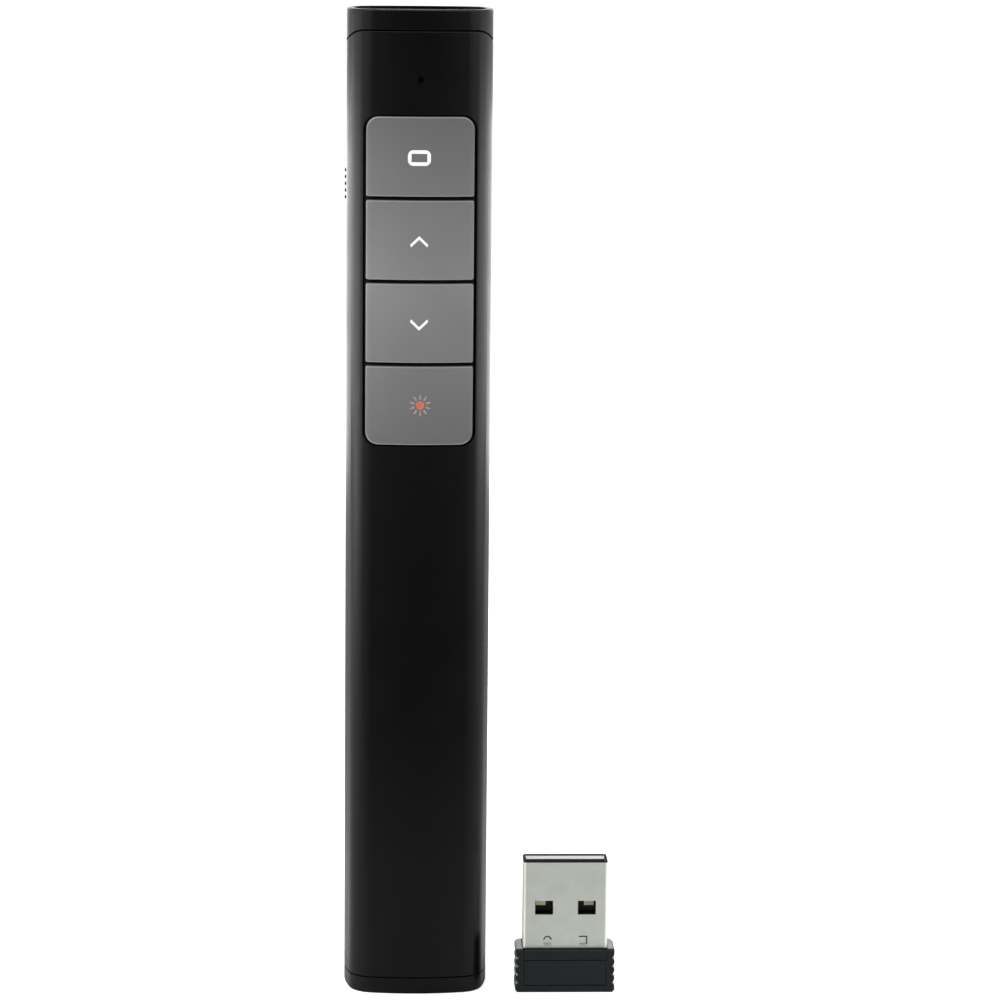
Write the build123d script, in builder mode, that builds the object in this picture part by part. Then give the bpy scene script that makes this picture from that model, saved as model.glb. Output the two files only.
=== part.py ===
"""Wireless presentation clicker with its USB receiver, in millimetres.

The clicker stands on its tail. X runs across it, Y from front to back (the keys face -Y) and
Z up. The origin is the centre of the base. The receiver stands beside it, plug upwards.
"""
import os

from build123d import *

# Clicker body
BODY_WIDTH = 20.6
BODY_DEPTH = 17.4
BODY_HEIGHT = 140.5
CROWN_RADIUS = 33.0         # front and back faces, across the body
FLANK_RADIUS = 20.0         # left and right sides, across the body
CORNER_RADIUS = 3.7
WALL = 1.4
TAIL_HEIGHT = 2.5           # end piece below the tail seam
NOSE_HEIGHT = 2.8           # band above the nose seam
SEAM = 0.2                  # gap between neighbouring shells
PARTING_Y = 0.6             # where the front cover meets the rear housing
COVER_CORNER = 2.5          # upper corners of the front cover, seen from the front
COVER_OVERHANG = 0.05       # how far that outline passes the flanks
EDGE_BREAK = 0.15
NOSE_RIM_BREAK = 0.28
FOOT_BREAK = 0.35

# Nose
NOSE_LIP = 1.0
NOSE_RECESS = 0.4
NOSE_PLATE_THICKNESS = 0.95
NOSE_PLATE_GAP = 0.06
APERTURE_RADIUS = 1.8
TONGUE_WIDTH = 8.0          # hook of the front cover under the nose
TONGUE_THICKNESS = 0.9
TONGUE_REACH = 0.9
TONGUE_HEIGHT = 4.0
TONGUE_ROOT_HEIGHT = 1.6
TONGUE_ROOT_DEPTH = 1.6
APERTURE_BEVEL = 0.35
FIT = 0.1                   # ordinary clearance between fixed plastic pieces
SLIDE_FIT = 0.05            # clearance of pieces that slide on or seat in each other

# Keys
KEY_SIDE = 2.785            # from the flank to the keys
KEYS_DROP = 14.75           # below the top of the body
KEYS_RISE = 6.35            # above the lower end of the board
KEY_GAP = 0.55
KEY_WINDOW_GAP = 0.25       # round the keys, above and below them
KEY_WINDOW_SIDE_GAP = 0.45
KEY_PROUD = 0.2
KEY_THICKNESS = 2.5
KEY_TRAVEL = 0.35
KEY_STOP_GAP = 0.25
KEY_OUTER_CORNER = 1.8
KEY_INNER_CORNER = 0.3
KEY_EDGE_BREAK = 0.22
POST_RADIUS = 1.5
LEG_INSET = 1.975
LEG_WIDTH = 1.2
LEG_HEIGHT = 2.0
BARB_REACH = 0.55
BARB_LENGTH = 0.5
KEY_NAMES = ["laser", "page_down", "page_up", "blank_screen"]   # from the bottom up

# Key frame, board and switches
FRAME_THICKNESS = 0.8
FRAME_SIDE = 2.6
FRAME_MARGIN = 2.7          # beyond the keys, above and below
PEG_RADIUS = 0.75
PEG_SEAT_RADIUS = 1.3
PEG_MARGIN = 1.35           # from the frame's end to its pegs
FRAME_TO_SWITCH = 0.7
SWITCH_SIZE = 6.0
SWITCH_DEPTH = 2.5
SWITCH_FOOT = 0.7
PLUNGER_RADIUS = 1.2
PLUNGER_STAND = 0.6
PLUNGER_LENGTH = 1.2
PLUNGER_WELL = 1.1
BOARD_SIDE = 2.2            # from the flank to the board
BOARD_THICKNESS = 1.2
BOARD_END_GAP = 0.6         # above the battery bay's upper wall
BOARD_TOP_GAP = 2.3         # below the nose
BOARD_CORNER = 1.0

# Screws
CASE_SCREW_RISE = 2.4       # above the board's lower end
CASE_SCREW_RADIUS = 1.0
CASE_SCREW_LENGTH = 10.0
CASE_HEAD_RADIUS = 1.8
CASE_HEAD_HEIGHT = 1.3
CASE_HEAD_SEAT_Y = 4.6
BOSS_RADIUS = 2.1
BOSS_SPIGOT_RADIUS = 1.7
REAR_BOSS_RADIUS = 2.6
BOARD_SCREW_INSET = 2.5
BOARD_SCREW_DROP = 3.9      # below the board's upper end
BOARD_BOSS_RADIUS = 1.8
BOARD_SCREW_RADIUS = 0.8
BOARD_SCREW_LENGTH = 4.5
BOARD_HEAD_RADIUS = 1.5
BOARD_HEAD_HEIGHT = 1.0
CROSS_WIDTH = 0.5
CROSS_DEPTH = 0.6
CROSS_SHARE = 0.6           # of the head's width

# Status light
LED_DROP = 9.65             # below the top of the body
PINHOLE_RADIUS = 0.45
LED_RADIUS = 1.25
LED_FLANGE_RADIUS = 1.5
LED_FLANGE_HEIGHT = 0.9
LED_HEIGHT = 3.2
LED_DOME_RADIUS = 1.0
PIPE_RADIUS = 0.8
PIPE_TIP_RADIUS = 0.38
PIPE_TIP_RECESS = 0.9
PIPE_COLLAR_WALL = 0.5
PIPE_COLLAR_LENGTH = 1.5
PIPE_LED_GAP = 0.15

# Laser module
LASER_RADIUS = 3.0
LASER_LENGTH = 17.4
LASER_BORE_RADIUS = 2.25
LASER_BORE_DEPTH = 3.4
LENS_THICKNESS = 1.6
LENS_CROWN_RADIUS = 4.0
SADDLE_RISE = 3.0           # saddle above the module's rear end
SADDLE_THICKNESS = 1.4
SADDLE_WIDTH = 9.0
DRIVER_RADIUS = 2.6
DRIVER_THICKNESS = 1.0
LEAD_RADIUS = 0.35
LASER_LEAD_X = 0.9
LASER_LEAD_DROP = 2.4
LASER_LEAD_BEND = 1.2

# Power slider, on the left flank
KNOB_Y = 2.9
KNOB_DROP = 24.87           # below the top of the body
KNOB_TRAVEL = 2.0
KNOB_LENGTH = 5.2
KNOB_WIDTH = 2.2
KNOB_CORNER = 0.44
KNOB_PROUD = 0.2            # pad above the flank, at the knob's middle
KNOB_RIBS = 5
KNOB_RIB_PITCH = 0.96
KNOB_RIB_WIDTH = 0.4
KNOB_RIB_HEIGHT = 0.25
KNOB_RIB_BREAK = 0.18
STEM_LENGTH = 3.2
STEM_WIDTH = 1.6
TRACK_DEPTH = 0.3           # recess that the pad runs in
TRACK_MARGIN = 0.3
CATCH_LENGTH = 4.6          # inner flange that keeps the knob in its slot
CATCH_WIDTH = 3.0
CATCH_THICKNESS = 0.7
CATCH_WALL_GAP = 0.65
LEVER_LENGTH = 1.5
LEVER_WIDTH = 1.3
LEVER_GRIP = 0.5            # how far the lever reaches into the knob
SWITCH_BOX_GAP = 0.4        # from the knob's catch to the slide switch
SWITCH_BOX_LENGTH = 8.2
SWITCH_BOX_WIDTH = 3.5
SWITCH_BOX_HEIGHT = 5.0
LEVER_WELL = 1.1

# Battery, an AAA cell, and its bay
CELL_RADIUS = 5.15
CELL_LENGTH = 44.5
CELL_BACK_GAP = 0.55
CELL_NUB_RADIUS = 1.9
CELL_NUB_HEIGHT = 0.9
CELL_EDGE = 0.5
CELL_SEAT_GAP = 0.12
SPRING_HEIGHT = 3.1
SPRING_COILS = 3
SPRING_BASE_RADIUS = 3.4
SPRING_TOP_RADIUS = 2.2
SPRING_WIRE_RADIUS = 0.3
CONTACT_THICKNESS = 0.3
CONTACT_WIDTH = 7.0
CONTACT_TAB_X = 3.9
CONTACT_TAB_WIDTH = 2.4
CONTACT_TAB_HEIGHT = 4.4
BAY_WALL = 1.4
CELL_RIB_COUNT = 3
CELL_RIB_PITCH = 15.0
CELL_RIB_THICKNESS = 1.2
CELL_RIB_BACK_Y = -1.0
LEAD_SIDE = 3.0             # from the flank to the lead
LEAD_Y = 2.3
LEAD_BEND = 1.6

# Battery door, on the back
DOOR_SIDE = 2.9
DOOR_OVERLAP = 0.9          # past the bay's end walls
DOOR_CORNER = 1.2
DOOR_GAP = 0.12
LEDGE_WIDTH = 0.9
LEDGE_THICKNESS = 1.0
LEDGE_DEPTH = 1.8           # how far the ledges run forward along the flanks
TOE_WIDTH = 3.0
TOE_X = 4.0
TOE_REACH = 0.9
TOE_THICKNESS = 0.9
TOE_ROOT = 1.8
TOE_SWING = 0.8             # room that the toes need as the door tilts
GRIP_GROOVES = 4
GRIP_PITCH = 1.5
GRIP_LENGTH = 7.0
GRIP_WIDTH = 0.7
GRIP_DEPTH = 0.3
GRIP_STEP = 1.2             # each groove is shorter than the one above it
GRIP_DROP = 4.0             # below the door's upper end

# Receiver
RECEIVER_X = 21.5
RECEIVER_Y = -5.1
PLUG_WIDTH = 12.1
PLUG_DEPTH = 4.5
PLUG_LENGTH = 12.75         # exposed above the housing
PLUG_WALL = 0.3
PLUG_CORNER = 0.5
PLUG_SEAT_GAP = 0.12
GRIP_BLOCK_WIDTH = 14.3
GRIP_BLOCK_DEPTH = 6.0
GRIP_BLOCK_HEIGHT = 6.5
GRIP_FLOOR = 1.2
GRIP_FRONT_CORNER = 0.35
GRIP_BACK_CORNER = 1.0
GRIP_TOP_BREAK = 0.25
GRIP_FOOT_BREAK = 0.3
LOBE_COUNT = 5              # finger lobes down each side
LOBE_PITCH = 1.22
LOBE_RADIUS = 0.61
LOBE_DEPTH = 0.38
LOBE_BOTTOM_Z = 0.89        # middle of the lowest lobe
PANEL_SIDE = 1.2            # border lines of the grip's front panel
PANEL_FOOT = 1.1
PANEL_TOP_LINE = 1.68
PANEL_LINE_WIDTH = 0.25
PANEL_LINE_DEPTH = 0.25
PLUG_WINDOW_X = 3.08
PLUG_WINDOW_WIDTH = 2.6
PLUG_WINDOW_HEIGHT = 2.05
PLUG_WINDOW_DROP = 6.83     # window centre below the plug's mouth
STAMP_LEFT_X = -2.55
STAMP_RIGHT_X = 2.58
STAMP_WIDTH = 1.22
STAMP_HEIGHT = 1.2
STAMP_RISE = 0.55
STAMP_SLIT = 0.18
STAMP_DIMPLE = 0.2          # how deep the foot of each tab is pressed in, at its top
STAMP_FOOT_WIDTH = 1.05
STAMP_FOOT_HEIGHT = 0.45
SHELL_RIM_BREAK = 0.1
TONGUE_BLOCK_DEPTH = 1.6
TONGUE_BLOCK_LENGTH = 4.5
CARRIER_LENGTH = 3.2        # black block under the tongue that holds the contacts
TONGUE_MOUTH_GAP = 0.1
TONGUE_BACK_GAP = 0.35
PIN_LENGTH = 6.1
PIN_OUTER_X = 3.48
PIN_INNER_X = 1.0
PIN_WIDTH = 1.4
PIN_THICKNESS = 0.12
PIN_SETBACK = 0.8
RECEIVER_BOARD_THICKNESS = 0.8
RECEIVER_CHIP_SIZE = 3.0
RECEIVER_CHIP_HEIGHT = 0.8

# Dock for the receiver, in the tail
DOCK_FIT = 0.2
DOCK_RECESS = 0.2           # the stored receiver sits this far inside the base
DOCK_WALL = 0.75
DOCK_SPIGOT = 2.0
DOCK_MOUTH_CORNER = 0.8
DOCK_LEAD_IN = 0.3
DOCK_FLANGE_Z = 9.2
DOCK_FLANGE_THICKNESS = 1.2
DOCK_RIB_THICKNESS = 1.0
MAGNET_RADIUS = 3.0
MAGNET_THICKNESS = 1.5
MAGNET_FLOOR = 0.45
DOCK_TO_BAY = 0.25

# Chips on the board's back; each SIDE is from the board's edge to the chip's middle
RADIO_CHIP_PLACE = 0.565    # down the board, as a share of its length
RADIO_CHIP_SIZE = 5.0
RADIO_CHIP_HEIGHT = 0.9
CRYSTAL_SIDE = 3.5
CRYSTAL_WIDTH = 2.5
CRYSTAL_LENGTH = 5.0
CRYSTAL_HEIGHT = 1.2
CRYSTAL_CORNER = 0.8
INDUCTOR_PLACE = 0.43
INDUCTOR_SIZE = 4.0
INDUCTOR_HEIGHT = 1.8
INDUCTOR_CORNER = 0.8
CAPACITOR_RISE = 12.95      # above the lower end of the board
CAPACITOR_SIDE = 4.1
CAPACITOR_RADIUS = 2.0
CAPACITOR_HEIGHT = 5.2
CHIP_PART_LENGTH = 1.6
CHIP_PART_WIDTH = 0.8
CHIP_PART_HEIGHT = 0.6
CHIP_PART_SIDE = 4.5
CHIP_PART_PITCH = 2.4
CHIP_PART_COLUMNS = 2
CHIP_PART_ROWS = 4
CHIP_PART_RISE = 6.75

# Places worked out from the sizes above
FRONT_Y = -BODY_DEPTH / 2
BACK_Y = BODY_DEPTH / 2
COVER_TOP = BODY_HEIGHT - NOSE_HEIGHT
KEY_BACK_Y = FRONT_Y + KEY_THICKNESS
FRAME_FRONT_Y = KEY_BACK_Y + KEY_TRAVEL + KEY_STOP_GAP
FRAME_BACK_Y = FRAME_FRONT_Y + FRAME_THICKNESS
SWITCH_FRONT_Y = FRAME_BACK_Y + FRAME_TO_SWITCH
BOARD_FRONT_Y = SWITCH_FRONT_Y + SWITCH_DEPTH
BOARD_BACK_Y = BOARD_FRONT_Y + BOARD_THICKNESS
PLUNGER_FRONT_Y = SWITCH_FRONT_Y - PLUNGER_STAND
CELL_Y = BACK_Y - WALL - CELL_BACK_GAP - CELL_RADIUS
BAY_WALL_FRONT_Y = BOARD_FRONT_Y + FIT
LASER_Y = (BOARD_BACK_Y + BACK_Y - WALL) / 2
LED_Z = BODY_HEIGHT - LED_DROP
KNOB_Z = BODY_HEIGHT - KNOB_DROP

GRIP_TOP = GRIP_BLOCK_HEIGHT
PLUG_TOP = GRIP_TOP + PLUG_LENGTH
PLUG_BOTTOM = GRIP_FLOOR + PLUG_SEAT_GAP
DOCK_LEDGE_Z = DOCK_RECESS + GRIP_BLOCK_HEIGHT
DOCK_END_Z = DOCK_LEDGE_Z + PLUG_LENGTH + DOCK_FIT
MAGNET_Z = DOCK_END_Z + MAGNET_FLOOR
DOCK_TOP = MAGNET_Z + MAGNET_THICKNESS
MOUTH_WIDTH = GRIP_BLOCK_WIDTH + 2 * DOCK_FIT
MOUTH_DEPTH = GRIP_BLOCK_DEPTH + 2 * DOCK_FIT
SOCKET_WIDTH = PLUG_WIDTH + 2 * DOCK_FIT
SOCKET_DEPTH = PLUG_DEPTH + 2 * DOCK_FIT
SLEEVE_WIDTH = MOUTH_WIDTH + 2 * DOCK_WALL
SLEEVE_DEPTH = MOUTH_DEPTH + 2 * DOCK_WALL

LOWER_WALL_Z = DOCK_TOP + DOCK_TO_BAY
BAY_BOTTOM = LOWER_WALL_Z + BAY_WALL
CELL_BOTTOM = BAY_BOTTOM + CONTACT_THICKNESS + SPRING_HEIGHT
CELL_TOP = CELL_BOTTOM + CELL_LENGTH
BAY_TOP = CELL_TOP + CONTACT_THICKNESS
UPPER_WALL_TOP = BAY_TOP + BAY_WALL
DOOR_BOTTOM = BAY_BOTTOM - DOOR_OVERLAP
DOOR_TOP = BAY_TOP + DOOR_OVERLAP
BOARD_BOTTOM = UPPER_WALL_TOP + BOARD_END_GAP
BOARD_TOP = COVER_TOP - BOARD_TOP_GAP
CASE_SCREW_Z = BOARD_BOTTOM + CASE_SCREW_RISE
BOARD_SCREW_Z = BOARD_TOP - BOARD_SCREW_DROP
CELL_MIDDLE_Z = (CELL_BOTTOM + CELL_TOP) / 2
BOARD_LENGTH = BOARD_TOP - BOARD_BOTTOM
BOARD_WIDTH = BODY_WIDTH - 2 * BOARD_SIDE
BOARD_SCREW_X = BOARD_WIDTH / 2 - BOARD_SCREW_INSET
CRYSTAL_X = BOARD_WIDTH / 2 - CRYSTAL_SIDE
CAPACITOR_X = BOARD_WIDTH / 2 - CAPACITOR_SIDE
CHIP_PART_X = CHIP_PART_SIDE - BOARD_WIDTH / 2
DOOR_WIDTH = BODY_WIDTH - 2 * DOOR_SIDE
LEAD_X = LEAD_SIDE - BODY_WIDTH / 2

KEY_BOTTOM_Z = BOARD_BOTTOM + KEYS_RISE
KEYS_HEIGHT = BODY_HEIGHT - KEYS_DROP - KEY_BOTTOM_Z
KEYS_MIDDLE_Z = KEY_BOTTOM_Z + KEYS_HEIGHT / 2
KEY_PITCH = (KEYS_HEIGHT + KEY_GAP) / len(KEY_NAMES)
KEY_HEIGHT = KEY_PITCH - KEY_GAP
KEY_WIDTH = BODY_WIDTH - 2 * KEY_SIDE
LEG_X = KEY_WIDTH / 2 - LEG_INSET
FRAME_WIDTH = BODY_WIDTH - 2 * FRAME_SIDE
FRAME_HEIGHT = KEYS_HEIGHT + 2 * FRAME_MARGIN

NOSE_FLOOR = BODY_HEIGHT - NOSE_RECESS - NOSE_PLATE_THICKNESS
LASER_TOP = NOSE_FLOOR - SLIDE_FIT
LASER_BOTTOM = LASER_TOP - LASER_LENGTH


def flank_x(y, inset=0.0):
    """Distance from the middle plane to the flank at depth y, `inset` inside the outer skin."""
    radius = FLANK_RADIUS - inset
    return BODY_WIDTH / 2 - FLANK_RADIUS + (radius**2 - y**2) ** 0.5


def crown_y(x, inset=0.0):
    """Depth of the back face at distance x from the middle, `inset` inside the outer skin."""
    radius = CROWN_RADIUS - inset
    return BACK_Y - CROWN_RADIUS + (radius**2 - x**2) ** 0.5


PEG_POINTS = [
    (side * LEG_X, KEYS_MIDDLE_Z + end * (FRAME_HEIGHT / 2 - PEG_MARGIN))
    for side in (-1, 1)
    for end in (-1, 1)
]
BOARD_SCREW_POINTS = [(-BOARD_SCREW_X, BOARD_SCREW_Z), (BOARD_SCREW_X, BOARD_SCREW_Z)]
CASE_PILOT_DEPTH = CASE_SCREW_LENGTH - (CASE_HEAD_SEAT_Y - BOARD_BACK_Y) + FIT
NOSE_HOOK_Y = FRONT_Y + WALL + TONGUE_THICKNESS + SEAM
SWITCH_FEET = [(x * SWITCH_SIZE / 2, z * SWITCH_SIZE / 3) for x in (-1, 1) for z in (-1, 1)]
LEG_LENGTH = FRAME_BACK_Y + SLIDE_FIT + BARB_LENGTH - KEY_BACK_Y
TOE_BACK_Y = crown_y(TOE_X + TOE_WIDTH / 2, WALL)
LEDGE_FRONT_Y = BACK_Y - WALL - LEDGE_THICKNESS - LEDGE_DEPTH
LEAD_PAD_X = -LEAD_X + 2 * LEAD_RADIUS
INNER_WIDTH = PLUG_WIDTH - 2 * PLUG_WALL - 2 * FIT
PLUG_BACK_Y = RECEIVER_Y + PLUG_DEPTH / 2 - PLUG_WALL - SLIDE_FIT
TONGUE_BACK_Y = PLUG_BACK_Y - TONGUE_BACK_GAP
TONGUE_END_Z = PLUG_TOP - TONGUE_MOUTH_GAP - TONGUE_BLOCK_LENGTH

KNOB_SKIN_X = flank_x(KNOB_Y)
TRACK_FLOOR_X = KNOB_SKIN_X - TRACK_DEPTH
KNOB_FACE_X = KNOB_SKIN_X + KNOB_PROUD
CATCH_X = flank_x(KNOB_Y, WALL) - CATCH_WALL_GAP + CATCH_THICKNESS / 2
CATCH_INNER_X = CATCH_X - CATCH_THICKNESS
SWITCH_BOX_X = CATCH_INNER_X - SWITCH_BOX_GAP
LEVER_REACH = LEVER_GRIP + SWITCH_BOX_GAP + LEVER_WELL - FIT

# How a block lies against its point: standing on it, hanging under it, behind or ahead of it
STANDING = (Align.CENTER, Align.CENTER, Align.MIN)
HANGING = (Align.CENTER, Align.CENTER, Align.MAX)
BEHIND = (Align.CENTER, Align.MIN, Align.CENTER)
BEHIND_STANDING = (Align.CENTER, Align.MIN, Align.MIN)
AHEAD = (Align.CENTER, Align.MAX, Align.CENTER)
AHEAD_STANDING = (Align.CENTER, Align.MAX, Align.MIN)
AHEAD_HANGING = (Align.CENTER, Align.MAX, Align.MAX)
OUTWARD_LEFT = (Align.MAX, Align.CENTER, Align.CENTER)
TOWARDS_MIN = (Align.CENTER, Align.MAX)
TOWARDS_MAX = (Align.CENTER, Align.MIN)
TOWARDS_BACK = (0, 1, 0)
TOWARDS_FRONT = (0, -1, 0)


def front_plane(y):
    """Plane at depth y that faces the user, drawn in X across and Z up."""
    return Plane.XZ.offset(-y)


def grip_section(inset, z):
    """Crowned oblong across the body at height z, drawn `inset` inside the outer skin."""
    crown = CROWN_RADIUS - inset
    flank = FLANK_RADIUS - inset
    with BuildSketch(Plane.XY.offset(z)) as section:
        with Locations((0, FRONT_Y + CROWN_RADIUS)):
            Circle(crown)
        with Locations((0, BACK_Y - CROWN_RADIUS)):
            Circle(crown, mode=Mode.INTERSECT)
        with Locations((BODY_WIDTH / 2 - FLANK_RADIUS, 0)):
            Circle(flank, mode=Mode.INTERSECT)
        with Locations((FLANK_RADIUS - BODY_WIDTH / 2, 0)):
            Circle(flank, mode=Mode.INTERSECT)
        fillet(section.vertices(), CORNER_RADIUS - inset)
    return section.sketch


def rounded_panel(y, width, bottom, top, radius):
    """Rounded rectangle seen from the front, on the plane at depth y."""
    with BuildSketch(front_plane(y)) as panel:
        with Locations((0, (bottom + top) / 2)):
            RectangleRounded(width, top - bottom, radius)
    return panel.sketch


def cover_outline(y, grow=0.0):
    """Outline of the front cover seen from the front: square at the tail, rounded at the nose."""
    half = BODY_WIDTH / 2 + COVER_OVERHANG
    top = COVER_TOP - SEAM + grow
    with BuildSketch(front_plane(y)) as outline:
        with Locations((0, (TAIL_HEIGHT + top) / 2)):
            Rectangle(2 * half + 2 * grow, top - TAIL_HEIGHT)
        fillet(outline.vertices().group_by(Axis.Z)[-1], COVER_CORNER + grow)
    return outline.sketch


def rod(x, y, z, radius, length, direction):
    """Round rod that starts at a point and runs along `direction`."""
    plane = Plane(origin=(x, y, z), z_dir=direction)
    with BuildSketch(plane) as end:
        Circle(radius)
    return extrude(end.sketch, amount=length, mode=Mode.PRIVATE)


def save(piece, name):
    """Label a finished piece and write it to its own file."""
    piece.part.label = name
    export_step(piece.part, f"parts/{name}.step")


os.makedirs("parts", exist_ok=True)

# ---------------------------------------------------------------- front cover
with BuildPart() as front_cover:
    extrude(grip_section(0, TAIL_HEIGHT), amount=COVER_TOP - TAIL_HEIGHT)
    extrude(cover_outline(PARTING_Y), amount=BODY_DEPTH, mode=Mode.INTERSECT)
    upper_edges = front_cover.edges().filter_by(lambda edge: edge.center().Z > COVER_TOP - COVER_CORNER)
    outer_edges = upper_edges.filter_by(lambda edge: edge.center().Y < PARTING_Y - WALL)
    fillet(outer_edges.filter_by(GeomType.LINE, reverse=True), EDGE_BREAK)
    extrude(grip_section(WALL, TAIL_HEIGHT), amount=COVER_TOP - TAIL_HEIGHT, mode=Mode.SUBTRACT)

    # ribs that cradle the battery
    for index in range(CELL_RIB_COUNT):
        rib_z = CELL_MIDDLE_Z + (index - (CELL_RIB_COUNT - 1) / 2) * CELL_RIB_PITCH
        with BuildSketch(Plane.XY.offset(rib_z)) as rib:
            add(grip_section(WALL - SLIDE_FIT, rib_z))
            with Locations((0, CELL_RIB_BACK_Y)):
                Rectangle(BODY_WIDTH, BODY_DEPTH, align=TOWARDS_MAX, mode=Mode.SUBTRACT)
            with Locations((0, CELL_Y)):
                Circle(CELL_RADIUS + CELL_SEAT_GAP, mode=Mode.SUBTRACT)
        extrude(amount=CELL_RIB_THICKNESS)

    # seats and pegs for the key frame
    for peg_x, peg_z in PEG_POINTS:
        add(rod(peg_x, FRAME_FRONT_Y, peg_z, PEG_SEAT_RADIUS, KEY_THICKNESS - WALL, TOWARDS_FRONT))
        add(rod(peg_x, FRAME_BACK_Y, peg_z, PEG_RADIUS, FRAME_THICKNESS, TOWARDS_FRONT))

    # bosses that the board stands on
    boss_length = BOARD_FRONT_Y - FRONT_Y - WALL
    add(rod(0, BOARD_FRONT_Y, CASE_SCREW_Z, BOSS_RADIUS, boss_length + WALL / 4, TOWARDS_FRONT))
    for boss_x, boss_z in BOARD_SCREW_POINTS:
        add(rod(boss_x, BOARD_FRONT_Y, boss_z, BOARD_BOSS_RADIUS, boss_length, TOWARDS_FRONT))
    add(rod(0, BOARD_BACK_Y - FIT, CASE_SCREW_Z, BOSS_SPIGOT_RADIUS, BOARD_THICKNESS, TOWARDS_FRONT))
    add(
        rod(0, BOARD_BACK_Y, CASE_SCREW_Z, CASE_SCREW_RADIUS, CASE_PILOT_DEPTH, TOWARDS_FRONT),
        mode=Mode.SUBTRACT,
    )
    for boss_x, boss_z in BOARD_SCREW_POINTS:
        pilot = rod(boss_x, BOARD_FRONT_Y, boss_z, BOARD_SCREW_RADIUS, BOARD_SCREW_LENGTH, TOWARDS_FRONT)
        add(pilot, mode=Mode.SUBTRACT)

    # collar and pinhole of the status light
    collar_y = FRONT_Y + WALL + PIPE_COLLAR_LENGTH
    collar_radius = PIPE_RADIUS + SLIDE_FIT + PIPE_COLLAR_WALL
    add(rod(0, collar_y, LED_Z, collar_radius, PIPE_COLLAR_LENGTH + WALL / 2, TOWARDS_FRONT))
    collar_bore = rod(0, collar_y, LED_Z, PIPE_RADIUS + SLIDE_FIT, PIPE_COLLAR_LENGTH, TOWARDS_FRONT)
    add(collar_bore, mode=Mode.SUBTRACT)
    add(rod(0, collar_y, LED_Z, PINHOLE_RADIUS, BODY_DEPTH, TOWARDS_FRONT), mode=Mode.SUBTRACT)

    # hook that reaches under the nose
    with Locations((0, NOSE_HOOK_Y, COVER_TOP + TONGUE_REACH)):
        Box(TONGUE_WIDTH, TONGUE_THICKNESS, TONGUE_HEIGHT, align=HANGING)
    with Locations((0, NOSE_HOOK_Y, COVER_TOP + TONGUE_REACH - TONGUE_HEIGHT)):
        Box(TONGUE_WIDTH, TONGUE_ROOT_DEPTH, TONGUE_ROOT_HEIGHT, align=AHEAD_STANDING)

    # window for the keys
    window = rounded_panel(
        PARTING_Y,
        KEY_WIDTH + 2 * KEY_WINDOW_SIDE_GAP,
        KEY_BOTTOM_Z - KEY_WINDOW_GAP,
        KEY_BOTTOM_Z + KEYS_HEIGHT + KEY_WINDOW_GAP,
        KEY_OUTER_CORNER + KEY_WINDOW_GAP,
    )
    extrude(window, amount=BODY_DEPTH, mode=Mode.SUBTRACT)
save(front_cover, "front_cover")

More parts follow.
